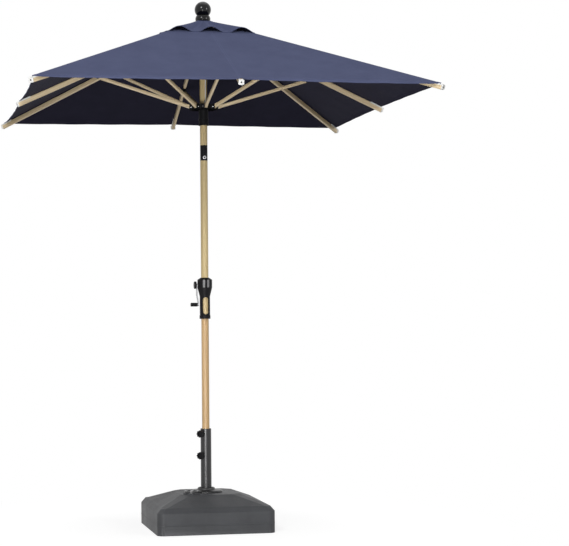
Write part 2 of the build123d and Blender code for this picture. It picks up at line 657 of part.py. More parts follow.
def make_tilt_joint():
    """Socket with two ears, and head with a tongue between them, on a cross pin."""
    ear_gap = TILT_TONGUE / 2 + RUN
    eye = across_bar(TILT_EYE_R, POLE_R, TILT_Z)
    eye_room = across_bar(TILT_EYE_R + RUN, POLE_R, TILT_Z)
    plug_r = POLE_BORE_R - SNUG
    reach = 3 * POLE_R
    cord_room = CORD_IN_R + CORD_R + 4 * RUN
    with BuildPart() as ears:
        add(eye)
        with Locations((0, 0, TILT_Z)):
            Box(2 * ear_gap, reach, reach, mode=Mode.SUBTRACT)
        with Locations((0, 0, TILT_BOTTOM_Z)):
            Cylinder(POLE_R, 2 * (TILT_Z - TILT_BOTTOM_Z), align=BOTTOM, mode=Mode.INTERSECT)
    with BuildPart() as tongue:
        add(eye)
        with Locations((0, 0, TILT_Z)):
            Box(TILT_TONGUE, reach, reach, mode=Mode.INTERSECT)
        with Locations((0, 0, TILT_BOTTOM_Z)):
            Cylinder(POLE_R - RUN, 2 * (TILT_Z - TILT_BOTTOM_Z), align=BOTTOM, mode=Mode.INTERSECT)
    with BuildPart() as ear_room:
        add(eye_room)
        with Locations((0, 0, TILT_Z)):
            Box(2 * (ear_gap - RUN), reach, reach, mode=Mode.SUBTRACT)
    with BuildPart() as tongue_room:
        add(eye_room)
        with Locations((0, 0, TILT_Z)):
            Box(2 * ear_gap, reach, reach, mode=Mode.INTERSECT)
    with BuildPart() as socket:
        with Locations((0, 0, TILT_BOTTOM_Z)):
            Cylinder(POLE_R, TILT_Z - TILT_BOTTOM_Z, align=BOTTOM)
        # Sloped back edge, so that the head can lean back.
        with BuildSketch(Plane.YZ):
            Polygon(
                (0, TILT_Z),
                (reach, TILT_Z - reach * tan(radians(TILT_RELIEF))),
                (reach, TILT_Z + 1.0),
                (0, TILT_Z + 1.0),
                align=None,
            )
        extrude(amount=reach, both=True, mode=Mode.SUBTRACT)
        add(ears.part)
        add(tongue_room.part, mode=Mode.SUBTRACT)
        with Locations((0, 0, TILT_BOTTOM_Z - TILT_PLUG)):
            Cylinder(plug_r, TILT_PLUG, align=BOTTOM)
        with BuildSketch(Plane.XY.offset(TILT_BOTTOM_Z - TILT_PLUG)):
            with Locations((0, -cord_room)):
                Rectangle(TILT_SLOT, cord_room + TILT_PIN_R, align=(Align.CENTER, Align.MIN))
        extrude(amount=2 * TILT_PLUG + TILT_Z - TILT_BOTTOM_Z, mode=Mode.SUBTRACT)
        with BuildSketch(Plane.YZ.offset(-reach)):
            with Locations((0, TILT_Z)):
                Circle(TILT_PIN_R + SNUG)
        extrude(amount=2 * reach, mode=Mode.SUBTRACT)
        with BuildSketch(Plane.XZ.offset(POLE_R + 1.0)):
            with Locations((0, BUTTON_Z)):
                Circle(BUTTON_R + RUN)
        extrude(amount=-(POLE_R + 1.0 - BUTTON_SEAT), mode=Mode.SUBTRACT)
    with BuildPart() as head:
        with Locations((0, 0, TILT_Z + RUN)):
            Cylinder(POLE_R, TILT_TOP_Z - TILT_Z - RUN, align=BOTTOM)
        add(ear_room.part, mode=Mode.SUBTRACT)
        add(tongue.part)
        with Locations((0, 0, TILT_TOP_Z)):
            Cylinder(plug_r, TILT_PLUG, align=BOTTOM)
        with BuildSketch(Plane.XY.offset(TILT_Z - 2 * TILT_EYE_R)):
            with Locations((0, -cord_room)):
                Rectangle(TILT_SLOT, cord_room + TILT_PIN_R, align=(Align.CENTER, Align.MIN))
        extrude(amount=4 * TILT_PLUG, mode=Mode.SUBTRACT)
        with BuildSketch(Plane.YZ.offset(-reach)):
            with Locations((0, TILT_Z)):
                Circle(TILT_PIN_R + PIN_PLAY)
        extrude(amount=2 * reach, mode=Mode.SUBTRACT)
    return socket.part, head.part


def make_tilt_pin():
    """Cross pin of the tilt joint, kept inside the round of the pole."""
    half = sqrt(POLE_R**2 - TILT_PIN_R**2) - 2 * RUN
    with BuildPart() as pin:
        with BuildSketch(Plane.YZ.offset(-half)):
            with Locations((0, TILT_Z)):
                Circle(TILT_PIN_R)
        extrude(amount=2 * half)
    return pin.part


def make_tilt_button():
    """Sprung push button with a dished face."""
    face_y = POLE_R + BUTTON_OUT
    with BuildPart() as button:
        with BuildSketch(Plane.XZ.offset(face_y)):
            with Locations((0, BUTTON_Z)):
                Circle(BUTTON_R)
        extrude(amount=-BUTTON_LENGTH)
        fillet(button.edges().filter_by(GeomType.CIRCLE).sort_by(Axis.Y)[0], 1.2)
        with BuildSketch(Plane.XZ.offset(face_y)):
            with Locations((0, BUTTON_Z)):
                Circle(BUTTON_R / 2)
        extrude(amount=-2.0, mode=Mode.SUBTRACT)
    return button.part


def make_tilt_spring():
    """Short wave spring stack behind the button, drawn as a sleeve."""
    back_y = POLE_R + BUTTON_OUT - BUTTON_LENGTH - RUN
    with BuildPart() as spring:
        with BuildSketch(Plane.XZ.offset(BUTTON_SEAT + RUN)):
            with Locations((0, BUTTON_Z)):
                Circle(BUTTON_R - 1.5)
                Circle(BUTTON_R - 3.5, mode=Mode.SUBTRACT)
        extrude(amount=back_y - BUTTON_SEAT - RUN)
    return spring.part


def make_top_hub():
    """Hub on the pole top with eight rib slots, a pulley pocket and a finial boss."""
    slot_in_r = HUB_PIVOT_R - RIB_EYE_R - RUN
    boss_top_z = FINIAL_SEAT_Z - CLOTH - 2 * CLOTH_GAP
    with BuildPart() as hub:
        with Locations((0, 0, HUB_BOTTOM_Z)):
            Cylinder(HUB_R, HUB_BELOW + HUB_ABOVE, align=BOTTOM)
        with Locations((0, 0, HUB_BOTTOM_Z - HUB_SOCKET)):
            Cylinder(POLE_R + 5.0, HUB_SOCKET, align=BOTTOM)
            Cylinder(POLE_R + SNUG, HUB_SOCKET, align=BOTTOM, mode=Mode.SUBTRACT)
        with Locations((0, 0, HUB_TOP_Z)):
            Cylinder(HUB_CORE_R, HUB_CORE_RISE, align=BOTTOM)
            Cylinder(FINIAL_STUD_R + 9.0, boss_top_z - HUB_TOP_Z, align=BOTTOM)
        with PolarLocations(slot_in_r + HUB_R / 2, 8):
            with Locations((0, 0, HUB_PIVOT_Z)):
                Box(HUB_R, RIB_BLADE + 2 * RUN, 4 * HUB_ABOVE, mode=Mode.SUBTRACT)
        with Locations((0, 0, HUB_PIVOT_Z)):
            Torus(HUB_PIVOT_R, HUB_RING_R + SNUG, mode=Mode.SUBTRACT)
        with PolarLocations(PULLEY_CENTRE_R, 1, start_angle=CORD_AZIMUTH):
            with Locations((0, 0, HUB_PIVOT_Z)):
                Box(2 * PULLEY_R + 8.0, PULLEY_WIDTH + 2 * RUN, 2 * HUB_BELOW, mode=Mode.SUBTRACT)
        with Locations((0, 0, boss_top_z - FINIAL_STUD)):
            Cylinder(FINIAL_STUD_R + SNUG, FINIAL_STUD, align=BOTTOM, mode=Mode.SUBTRACT)
    return hub.part


def make_rib_pivot_ring():
    """Wire ring that all eight ribs turn on."""
    with BuildPart() as ring:
        with Locations((0, 0, HUB_PIVOT_Z)):
            Torus(HUB_PIVOT_R, HUB_RING_R)
    return ring.part


def make_cord_pulley():
    """Grooved pulley in the hub with its own stub axles."""
    groove_r = PULLEY_R - CORD_R - RUN
    rim_r = PULLEY_R + CORD_R
    with BuildPart() as pulley:
        with BuildSketch(Plane.XZ.offset(-PULLEY_WIDTH / 2)):
            with Locations((PULLEY_CENTRE_R, HUB_PIVOT_Z)):
                Circle(groove_r)
        extrude(amount=PULLEY_WIDTH)
        for start in (-PULLEY_WIDTH / 2, PULLEY_WIDTH / 2 - 1.5):
            with BuildSketch(Plane.XZ.offset(start)):
                with Locations((PULLEY_CENTRE_R, HUB_PIVOT_Z)):
                    Circle(rim_r)
            extrude(amount=1.5)
    return pulley.part.rotate(Axis.Z, CORD_AZIMUTH)


def make_lift_cord_upper():
    """Cord up inside the pole, over the pulley and down to the runner."""
    start_z = TILT_Z + 3.0
    end_z = RUNNER_TOP_Z - 8.0
    with BuildPart() as cord:
        with BuildLine(Plane.XZ):
            rise = Line((CORD_IN_R, start_z), (CORD_IN_R, HUB_PIVOT_Z))
            over = ThreePointArc(
                rise @ 1,
                (PULLEY_CENTRE_R, HUB_PIVOT_Z + PULLEY_R),
                (CORD_OUT_R, HUB_PIVOT_Z),
            )
            Line(over @ 1, (CORD_OUT_R, end_z))
        with BuildSketch(Plane.XY.offset(start_z)):
            with Locations((CORD_IN_R, 0)):
                Circle(CORD_R)
        sweep()
    return cord.part.rotate(Axis.Z, CORD_AZIMUTH)


def make_lift_cord_lower():
    """Cord from the spool up to the tilt joint."""
    foot = Vector(0, -SPOOL_PITCH_R, CRANK_Z)
    turn = radians(CORD_AZIMUTH)
    head = Vector(CORD_IN_R * cos(turn), CORD_IN_R * sin(turn), TILT_Z - 3.0)
    with BuildPart() as cord:
        with BuildSketch(Plane(origin=foot, z_dir=head - foot)):
            Circle(CORD_R)
        extrude(amount=(head - foot).length)
    return cord.part


def make_runner():
    """Sliding hub with eight strut slots, pin grooves and a keyway for the tilt button."""
    bore_r = POLE_R + SLIDE
    slot = STRUT_WIDTH + 4 * RUN
    groove_r = HINGE_PIN_R + PIN_PLAY
    groove = STRUT_WIDTH + 2 * (PIN_STUB + RUN)
    with BuildPart() as runner:
        with Locations((0, 0, RUNNER_BOTTOM_Z)):
            Cylinder(RUNNER_SLEEVE_R, RUNNER_TOP_Z - RUNNER_BOTTOM_Z, align=BOTTOM)
            Cylinder(RUNNER_SLEEVE_R + RUNNER_BEAD, 10.0, align=BOTTOM)
        with Locations((0, 0, RUNNER_BOTTOM_Z + 26.0)):
            Cylinder(RUNNER_SLEEVE_R + RUNNER_BEAD, 7.0, align=BOTTOM)
        with Locations((0, 0, RUNNER_PIVOT_Z - RUNNER_HALF)):
            Cylinder(RUNNER_R, 2 * RUNNER_HALF, align=BOTTOM)
        fillet(runner.edges().filter_by(GeomType.CIRCLE).filter_by(
            lambda edge: abs(edge.radius - RUNNER_SLEEVE_R - RUNNER_BEAD) < 0.01), 1.2)
        fillet(runner.edges().filter_by(GeomType.CIRCLE).filter_by(
            lambda edge: abs(edge.radius - RUNNER_R) < 0.01), 2.0)
        with Locations((0, 0, RUNNER_BOTTOM_Z - 1.0)):
            Cylinder(bore_r, 2 * RUNNER_TOP_Z, align=BOTTOM, mode=Mode.SUBTRACT)
        # Scallops between the forks leave a star of eight.
        with PolarLocations(RUNNER_R, 8, start_angle=22.5):
            with Locations((0, 0, RUNNER_PIVOT_Z)):
                Cylinder(RUNNER_SCALLOP_R, 4 * RUNNER_HALF, mode=Mode.SUBTRACT)
        with PolarLocations(RUNNER_CORE_R + RUNNER_R / 2, 8):
            with Locations((0, 0, RUNNER_PIVOT_Z)):
                Box(RUNNER_R, slot, 4 * RUNNER_HALF, mode=Mode.SUBTRACT)
        with PolarLocations(RUNNER_PIVOT_R, 8):
            with Locations((0, 0, RUNNER_PIVOT_Z - RUNNER_HALF)):
                Box(2 * groove_r, groove, 2 * RUNNER_HALF, mode=Mode.SUBTRACT)
            with Locations(Location((0, 0, RUNNER_PIVOT_Z), (90, 0, 0))):
                Cylinder(groove_r, groove, mode=Mode.SUBTRACT)
        with BuildSketch(Plane.XY.offset(RUNNER_BOTTOM_Z)):
            with Locations((0, -POLE_R)):
                Rectangle(2 * BUTTON_R + 4 * RUN, 2 * BUTTON_OUT + 4 * RUN)
        extrude(amount=RUNNER_TOP_Z - RUNNER_BOTTOM_Z, mode=Mode.SUBTRACT)
        with PolarLocations(CORD_OUT_R, 1, start_angle=CORD_AZIMUTH):
            with Locations((0, 0, RUNNER_TOP_Z - 9.0)):
                Cylinder(CORD_R + RUN, 10.0, align=BOTTOM, mode=Mode.SUBTRACT)
    return runner.part


def rib_profile(grow):
    """The rib's rounded outline, grown by the given amount."""
    RectangleRounded(RIB_WIDTH + 2 * grow, RIB_HEIGHT + 2 * grow, RIB_CORNER + grow)


def make_rib(length, joint):
    """One rib along +X from its hub pivot: tube, hub fitting, strut bracket and tip cap."""
    with BuildPart() as bar:
        with BuildSketch(Plane.YZ.offset(RIB_TUBE_START)):
            rib_profile(0)
            RectangleRounded(
                RIB_WIDTH - 2 * RIB_WALL,
                RIB_HEIGHT - 2 * RIB_WALL,
                RIB_CORNER - RIB_WALL,
                mode=Mode.SUBTRACT,
            )
        extrude(amount=length - RIB_TUBE_START)
    with BuildPart() as fitting:
        with BuildSketch(Plane.XZ):
            Circle(RIB_EYE_R)
            with Locations((RIB_TUBE_START / 2, 0)):
                Rectangle(RIB_TUBE_START, 1.7 * RIB_EYE_R)
            Circle(HUB_RING_R + 3 * PIN_PLAY, mode=Mode.SUBTRACT)
        extrude(amount=RIB_BLADE / 2, both=True)
        with BuildSketch(Plane.YZ.offset(RIB_TUBE_START - 6.0)):
            rib_profile(0)
        extrude(amount=6.0)
    drop = -STRUT_DROP
    outer = RIB_WIDTH + 2 * BRACKET_WALL
    lug_half = STRUT_BLADE / 2 + RUN + BRACKET_LUG
    with BuildPart() as saddle:
        with BuildSketch(Plane.YZ.offset(joint - BRACKET_LENGTH / 2)):
            with Locations((0, -RIB_HEIGHT / 2 - BRACKET_WALL)):
                Rectangle(outer, RIB_HEIGHT * 0.8, align=(Align.CENTER, Align.MIN))
        extrude(amount=BRACKET_LENGTH)
        with BuildSketch(Plane.YZ.offset(joint - BRACKET_LENGTH)):
            rib_profile(0.02)
        extrude(amount=2 * BRACKET_LENGTH, mode=Mode.SUBTRACT)
        with BuildSketch(Plane.XZ):
            with Locations((joint, drop)):
                Circle(STRUT_EYE_R - 2.0)
            with Locations((joint, (drop - RIB_HEIGHT / 2 - BRACKET_WALL) / 2)):
                Rectangle(2 * STRUT_EYE_R - 4.0, STRUT_DROP - RIB_HEIGHT / 2 - BRACKET_WALL + 1.0)
        extrude(amount=lug_half, both=True)
        with Locations((joint, 0, -RIB_HEIGHT / 2 - BRACKET_WALL - STRUT_DROP)):
            Box(BRACKET_LENGTH, STRUT_BLADE + 2 * RUN, 2 * STRUT_DROP, mode=Mode.SUBTRACT)
        with BuildSketch(Plane.XZ):
            with Locations((joint, drop)):
                Circle(HINGE_PIN_R)
        extrude(amount=lug_half + 1.0, both=True)
    with BuildPart() as tip:
        with BuildSketch(Plane.YZ.offset(length - TIP_LENGTH)):
            with Locations((0, RIB_HEIGHT / 2 + TIP_WALL)):
                Rectangle(RIB_WIDTH + 2 * TIP_WALL, TIP_SKIRT, align=(Align.CENTER, Align.MAX))
        extrude(amount=TIP_LENGTH)
        with BuildSketch(Plane.YZ.offset(length)):
            with Locations((0, TIP_WALL / 2)):
                RectangleRounded(RIB_WIDTH + 2 * TIP_WALL, RIB_HEIGHT + TIP_WALL, 3.0)
        extrude(amount=TIP_END)
        with BuildSketch(Plane.YZ.offset(length - 2 * TIP_LENGTH)):
            rib_profile(0.02)
        extrude(amount=2 * TIP_LENGTH, mode=Mode.SUBTRACT)
        with BuildSketch(Plane.YZ.offset(length + TIP_END)):
            Circle(TIP_HOLE_R)
        extrude(amount=-TIP_END / 2, mode=Mode.SUBTRACT)
    return [bar.part, fitting.part, saddle.part, tip.part]


def make_strut(length):
    """One strut along +X from its rib pin: upper blade, tube and runner foot."""
    with BuildPart() as head:
        with BuildSketch(Plane.XZ):
            Circle(STRUT_EYE_R - 1.5)
            with Locations((STRUT_HEAD / 2, 0)):
                Rectangle(STRUT_HEAD, 2 * STRUT_EYE_R - 4.0)
            Circle(HINGE_PIN_R + PIN_PLAY, mode=Mode.SUBTRACT)
        extrude(amount=STRUT_BLADE / 2, both=True)
        with BuildSketch(Plane.YZ.offset(STRUT_HEAD - 5.0)):
            RectangleRounded(STRUT_WIDTH, STRUT_HEIGHT, STRUT_CORNER)
        extrude(amount=5.0)
    with BuildPart() as bar:
        with BuildSketch(Plane.YZ.offset(STRUT_HEAD)):
            RectangleRounded(STRUT_WIDTH, STRUT_HEIGHT, STRUT_CORNER)
            RectangleRounded(
                STRUT_WIDTH - 2 * STRUT_WALL,
                STRUT_HEIGHT - 2 * STRUT_WALL,
                STRUT_CORNER - STRUT_WALL,
                mode=Mode.SUBTRACT,
            )
        extrude(amount=length - STRUT_FOOT - STRUT_HEAD)
    with BuildPart() as foot:
        with BuildSketch(Plane.XZ):
            with Locations((length, 0)):
                Circle(STRUT_EYE_R)
            with Locations((length - STRUT_FOOT / 2, 0)):
                Rectangle(STRUT_FOOT, 2 * STRUT_EYE_R)
        extrude(amount=STRUT_WIDTH / 2, both=True)
        with BuildSketch(Plane.XZ):
            with Locations((length, 0)):
                Circle(HINGE_PIN_R)
        extrude(amount=STRUT_WIDTH / 2 + PIN_STUB, both=True)
    return [head.part, bar.part, foot.part]


def rib_place(angle):
    """Frame of a rib: origin at its hub pivot, X along it, Z out of its top."""
    return Plane(
        origin=(HUB_PIVOT_R, 0, HUB_PIVOT_Z),
        x_dir=(cos(angle), 0, -sin(angle)),
        z_dir=(sin(angle), 0, cos(angle)),
    )


def strut_place(joint, angle):
    """Frame of a strut: origin at its rib pin, X towards its runner pin."""
    radius, height = strut_pin(joint, angle)
    run = RUNNER_PIVOT_R - radius
    fall = RUNNER_PIVOT_Z - height
    return Plane(origin=(radius, 0, height), x_dir=(run, 0, fall), z_dir=(fall, 0, -run))


def make_half_panels():
    """The half panel beside a middle rib and the one beside a corner rib, on the +X side."""
    slope = Plane(
        origin=(0, 0, CLOTH_APEX_Z),
        x_dir=(cos(MID_ANGLE), 0, -sin(MID_ANGLE)),
        z_dir=(sin(MID_ANGLE), 0, cos(MID_ANGLE)),
    )
    hem = CLOTH_HALF / cos(MID_ANGLE)
    mid_hem = (CLOTH_HALF - MID_SHORT) / cos(MID_ANGLE)
    inner = VENT_HOLE_HALF / cos(MID_ANGLE)
    corner_turn = degrees(atan2(CLOTH_HALF, hem))
    with BuildPart() as panel:
        with BuildSketch():
            with BuildLine():
                Line((inner, 0), (mid_hem, 0))
                ThreePointArc(
                    (mid_hem, 0),
                    ((mid_hem + hem) / 2 - HEM_SAG, CLOTH_HALF / 2),
                    (hem, CLOTH_HALF),
                )
                Line((hem, CLOTH_HALF), (inner, VENT_HOLE_HALF))
                Line((inner, VENT_HOLE_HALF), (inner, 0))
            make_face()
        extrude(amount=CLOTH)
    halves = []
    for low, high in ((0, corner_turn / 2), (corner_turn / 2, corner_turn)):
        with BuildPart() as half:
            add(panel.part)
            split(bisect_by=Plane.XZ.rotated((0, 0, low)).offset(-CLOTH_GAP), keep=Keep.BOTTOM)
            split(bisect_by=Plane.XZ.rotated((0, 0, high)).offset(CLOTH_GAP), keep=Keep.TOP)
        halves.append(slope.location * half.part)
    return halves


def make_vent_flap():
    """Small cloth pyramid over the vent hole, arched along its hem."""
    top_z = FINIAL_SEAT_Z - CLOTH_GAP
    seat_half = VENT_HALF - 3 * CLOTH
    hem_z = CLOTH_APEX_Z + CLOTH / cos(MID_ANGLE) - seat_half * tan(MID_ANGLE) + CLOTH_GAP
    fall = (top_z - hem_z - CLOTH) / (VENT_HALF - VENT_TOP_HALF)
    arch_reach = VENT_ARCH_RISE / fall + 5.0
    with BuildPart() as flap:
        with BuildSketch(Plane.XY.offset(hem_z + CLOTH)):
            Rectangle(2 * VENT_HALF, 2 * VENT_HALF)
        with BuildSketch(Plane.XY.offset(top_z)):
            Rectangle(2 * VENT_TOP_HALF, 2 * VENT_TOP_HALF)
        loft(ruled=True)
        with BuildSketch(Plane.XY.offset(hem_z)):
            Rectangle(2 * VENT_HALF, 2 * VENT_HALF)
        extrude(amount=CLOTH)
        with BuildSketch(Plane.XY.offset(hem_z)):
            Rectangle(2 * VENT_HALF - 2 * CLOTH, 2 * VENT_HALF - 2 * CLOTH)
        with BuildSketch(Plane.XY.offset(top_z - CLOTH)):
            Rectangle(2 * VENT_TOP_HALF - 2 * CLOTH, 2 * VENT_TOP_HALF - 2 * CLOTH)
        loft(ruled=True, mode=Mode.SUBTRACT)
        for side in range(4):
            with BuildSketch(Plane.XZ.rotated((0, 0, 90 * side)).offset(VENT_HALF - arch_reach)):
                with GridLocations(VENT_ARCH_STEP, 1, VENT_ARCHES, 1):
                    with Locations((0, hem_z)):
                        Ellipse(VENT_ARCH_HALF, VENT_ARCH_RISE)
            extrude(amount=2 * arch_reach, mode=Mode.SUBTRACT)
        with Locations((0, 0, top_z - 2 * CLOTH)):
            Cylinder(FINIAL_STUD_R + RUN, 4 * CLOTH, align=BOTTOM, mode=Mode.SUBTRACT)
    return flap.part


def make_finial():
    """Turned ball finial on a flared foot, with the stud that screws into the hub."""
    ball_z = FINIAL_TOP_Z - FINIAL_BALL_R
    neck_z = ball_z - sqrt(FINIAL_BALL_R**2 - FINIAL_NECK_R**2)
    foot_z = FINIAL_SEAT_Z
    with BuildPart() as finial:
        with BuildSketch(Plane.XZ):
            with BuildLine():
                Line((0, foot_z), (FINIAL_BULGE_R - 3.0, foot_z))
                ThreePointArc(
                    (FINIAL_BULGE_R - 3.0, foot_z),
                    (FINIAL_BULGE_R, foot_z + 0.45 * (neck_z - foot_z)),
                    (FINIAL_NECK_R, neck_z),
                )
                ThreePointArc(
                    (FINIAL_NECK_R, neck_z),
                    (FINIAL_BALL_R, ball_z),
                    (0, FINIAL_TOP_Z),
                )
                Line((0, FINIAL_TOP_Z), (0, foot_z))
            make_face()
        revolve(axis=Axis.Z)
        with Locations((0, 0, foot_z - FINIAL_STUD)):
            Cylinder(FINIAL_STUD_R, FINIAL_STUD, align=BOTTOM)
    return finial.part


def main():
    os.makedirs("parts", exist_ok=True)
    save(make_base_tank(), "base_tank")
    save(make_fill_cap(), "fill_cap")
    save(make_stem_collar(), "stem_collar")
    save(make_stem_tube(), "stem_tube")
    for which, height in KNOB_HEIGHTS.items():
        save(make_clamp_knob(height), f"{which}_clamp_knob")
    save(make_lower_pole(), "lower_pole")
    save(make_middle_pole(), "middle_pole")
    front, back = make_crank_housing()
    save(front, "crank_housing_front")
    save(back, "crank_housing_back")
    save(make_housing_screws(), "housing_screws")
    save(make_crank_shaft(), "crank_shaft")
    save(make_crank_arm(), "crank_arm")
    save(make_crank_grip(), "crank_grip")
    socket, head = make_tilt_joint()
    save(socket, "tilt_socket")
    save(head, "tilt_head")
    save(make_tilt_pin(), "tilt_pin")
    save(make_tilt_button(), "tilt_button")
    save(make_tilt_spring(), "tilt_spring")
    save(tube(POLE_R, POLE_WALL, TILT_TOP_Z, HUB_BOTTOM_Z - RUN), "upper_pole")
    save(make_top_hub(), "top_hub")
    save(make_rib_pivot_ring(), "rib_pivot_ring")
    save(make_cord_pulley(), "cord_pulley")
    save(make_lift_cord_upper(), "lift_cord_upper")
    save(make_lift_cord_lower(), "lift_cord_lower")
    save(make_runner(), "runner")
    save(make_vent_flap(), "vent_flap")
    save(make_finial(), "finial")
    mid_half, corner_half = make_half_panels()
    sizes = {
        "mid": (MID_ANGLE, MID_LENGTH, MID_JOINT, MID_STRUT, mid_half, 0.0),
        "corner": (CORNER_ANGLE, CORNER_LENGTH, CORNER_JOINT, CORNER_STRUT, corner_half, 45.0),
    }
    for name, azimuth in RIB_DIRECTIONS.items():
        kind = "mid" if azimuth % 90 == 0 else "corner"
        angle, length, joint, strut, half, turned = sizes[kind]
        rib = [rib_place(angle).location * piece for piece in make_rib(length, joint)]
        save(Compound(children=[piece.rotate(Axis.Z, azimuth) for piece in rib]), f"rib_{name}")
        arm = [strut_place(joint, angle).location * piece for piece in make_strut(strut)]
        save(Compound(children=[piece.rotate(Axis.Z, azimuth) for piece in arm]), f"strut_{name}")
        mirrored = half.mirror(Plane.XZ)
        ahead, behind = (half, mirrored) if kind == "mid" else (mirrored, half)
        ahead_turn = azimuth if kind == "mid" else azimuth + turned
        behind_turn = azimuth if kind == "mid" else azimuth - turned
        save(ahead.rotate(Axis.Z, ahead_turn), f"canopy_{name}_ahead")
        save(behind.rotate(Axis.Z, behind_turn), f"canopy_{name}_behind")


main()
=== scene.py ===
import json
from math import atan, cos, hypot, pi, radians, sin, tan

import bpy
from mathutils import Matrix, Vector


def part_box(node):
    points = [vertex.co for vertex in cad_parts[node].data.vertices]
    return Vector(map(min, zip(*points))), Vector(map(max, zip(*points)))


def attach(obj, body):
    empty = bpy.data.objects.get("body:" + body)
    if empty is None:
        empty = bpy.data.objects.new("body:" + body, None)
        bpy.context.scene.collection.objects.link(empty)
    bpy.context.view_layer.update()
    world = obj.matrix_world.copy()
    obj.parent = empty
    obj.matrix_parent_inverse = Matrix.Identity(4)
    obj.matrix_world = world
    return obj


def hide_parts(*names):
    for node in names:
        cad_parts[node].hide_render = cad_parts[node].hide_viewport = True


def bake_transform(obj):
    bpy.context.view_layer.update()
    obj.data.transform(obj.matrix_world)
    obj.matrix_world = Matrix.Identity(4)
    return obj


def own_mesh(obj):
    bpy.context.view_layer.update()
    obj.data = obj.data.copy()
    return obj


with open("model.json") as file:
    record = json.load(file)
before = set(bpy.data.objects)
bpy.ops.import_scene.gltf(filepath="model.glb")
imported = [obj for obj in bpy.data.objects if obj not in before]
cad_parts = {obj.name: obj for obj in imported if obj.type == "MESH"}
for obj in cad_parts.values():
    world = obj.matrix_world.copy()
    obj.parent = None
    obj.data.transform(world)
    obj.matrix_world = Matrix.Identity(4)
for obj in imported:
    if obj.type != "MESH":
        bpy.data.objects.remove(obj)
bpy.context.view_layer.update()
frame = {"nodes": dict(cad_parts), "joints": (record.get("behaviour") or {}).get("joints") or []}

# Square market umbrella in metres: +Z up, the pole on the Z axis, -Y towards the user.

JOINTS = {joint["name"]: joint for joint in frame["joints"]}
NODES = frame["nodes"]

# Camera of the photograph
CAMERA_AT = Vector((-1.583, -8.505, 1.101))
CAMERA_HEADING = Vector((0.18307, 0.98310, 0.0))
CAMERA_PITCH = radians(1.333)
CAMERA_ROLL = radians(-0.418)
CAMERA_LENS = 106.57
CAMERA_SHIFT_X = 0.14
CAMERA_REACH = 100.0

# Rib directions, as azimuths in degrees
RIBS = {
    "right": 0,
    "back_right": 45,
    "back": 90,
    "back_left": 135,
    "left": 180,
    "front_left": 225,
    "front": 270,
    "front_right": 315,
}
SIDES = {"ahead": 1, "behind": -1}

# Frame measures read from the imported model
RIB_AXIS = Vector(JOINTS["canopy_right_ahead_fold"]["axis"])
SLOPE = atan(-RIB_AXIS.z / RIB_AXIS.x)
APEX_Z = JOINTS["canopy_right_ahead_fold"]["pos_m"][2]
HUB_R, _, HUB_Z = JOINTS["rib_right_hinge"]["pos_m"]
CLOTH_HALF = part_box("canopy_back_right_behind")[1].x
VENT_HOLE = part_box("canopy_right_ahead")[0].x
VENT_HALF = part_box("vent_flap")[1].x
VENT_TOP_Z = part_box("vent_flap")[1].z
RUNNER_TOP_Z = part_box("runner")[1].z
CRANK_Z = JOINTS["crank_turn"]["pos_m"][2]

# Sizes of the frame's pieces
RIB_WIDTH = 0.015
RIB_HEIGHT = 0.025
RIB_FITTING = 0.024  # black end at the hub, from the hinge pin
RIB_CAP_END = 0.005  # the cap reaches this far past the bar
RIB_CAP_LENGTH = 0.070  # sleeve of the cap on the bar
RIB_CAP_HOLE_R = 0.0045
RIB_END_ZONE = 0.012  # stretch of a rib's end that gives its slope
PLATE_WIDTH = 0.027
PLATE_HEIGHT = 0.024
PLATE_THICK = 0.0028
PLATE_EDGE = 0.0008
PLATE_HOLE_R = 0.0042
PLATE_CENTRE = 0.02  # share of the hole where its bottom closes
PLATE_SQUARENESS = 6  # power of the rounded rectangle
PLATE_SIDES = 48
BRACKET_HALF = 0.021  # half length of the strut's saddle
STRUT_HEAD = 0.026  # black end at the rib, from the hinge pin
STRUT_WIDTH = 0.014
CRANK_BAR = 0.006  # thickness of the arm
CRANK_LEAN = 0.007  # its grip end lies this far nearer to the pole
CRANK_CAP_R = 0.0195  # just over the cap's radius
BAR_RISE = 0.0004  # the grey bars stand out at least this far
FACING_DOWN = -0.3  # upward part of a normal below which a face counts as underside
SKIN = 0.00005  # slack when faces are sorted by place

# Cloth
CLOTH_THICK = 0.0011
CLOTH_MID = 0.0006  # its middle above the plane of the fold axes
CLOTH_THIN = 0.4  # plain cloth's share of the hem's thickness
CLOTH_EDGE_ANGLE = radians(35)
HEM_SAG = 0.008  # the hem's cut bows in this far between its ribs
HEM_SHORT = 0.012  # and lies this far further in at the middle ribs than at the corners
HEM_DROOP = 0.009  # it hangs this far between its ribs
HEM_BAND = 0.018
HEM_HANG = 0.026  # width of cloth that droops
HEM_STEP = 0.0015  # over which the hem gets thick
HEM_ROWS = 3
HEM_ROUND = 0.4  # lower is flatter between the ribs
CLOTH_DIP = 0.001  # sag between the ribs
CLOTH_DIP_POWER = 1.3
PULL_RISE = 0.001  # height of the pull waves near the hem
PULL_WAVES = 9
PULL_POWER = 8
CLOTH_ROWS = 40
CLOTH_RAYS = 14
VENT_EYE = 0.006  # half width of the hole in the crown
VENT_CROWN = 0.062  # half width of the crown
VENT_CROWN_RINGS = 7
VENT_CROWN_MAP = (0.02, 0.05)  # away from seam and hem, so without stitches
VENT_ARCH_STEP = 0.160  # from the middle arch of a side to the arches by its corners
VENT_ARCH_HALF = 0.062
VENT_ARCH_RISE = 0.027
VENT_ARCH_ROUND = 1.3
VENT_ARCH_POWER = 1.15
VENT_SIDE_RISE = 0.007  # of the corner arches on the left and right
VENT_FLAT_TOP = 0.034  # half width of the flat top
VENT_GAP = 0.0015  # the hem's height above the canopy
VENT_FOLD = 0.007  # the cloth falls in this far between its arches
VENT_ROWS = 16
VENT_RAYS = 26

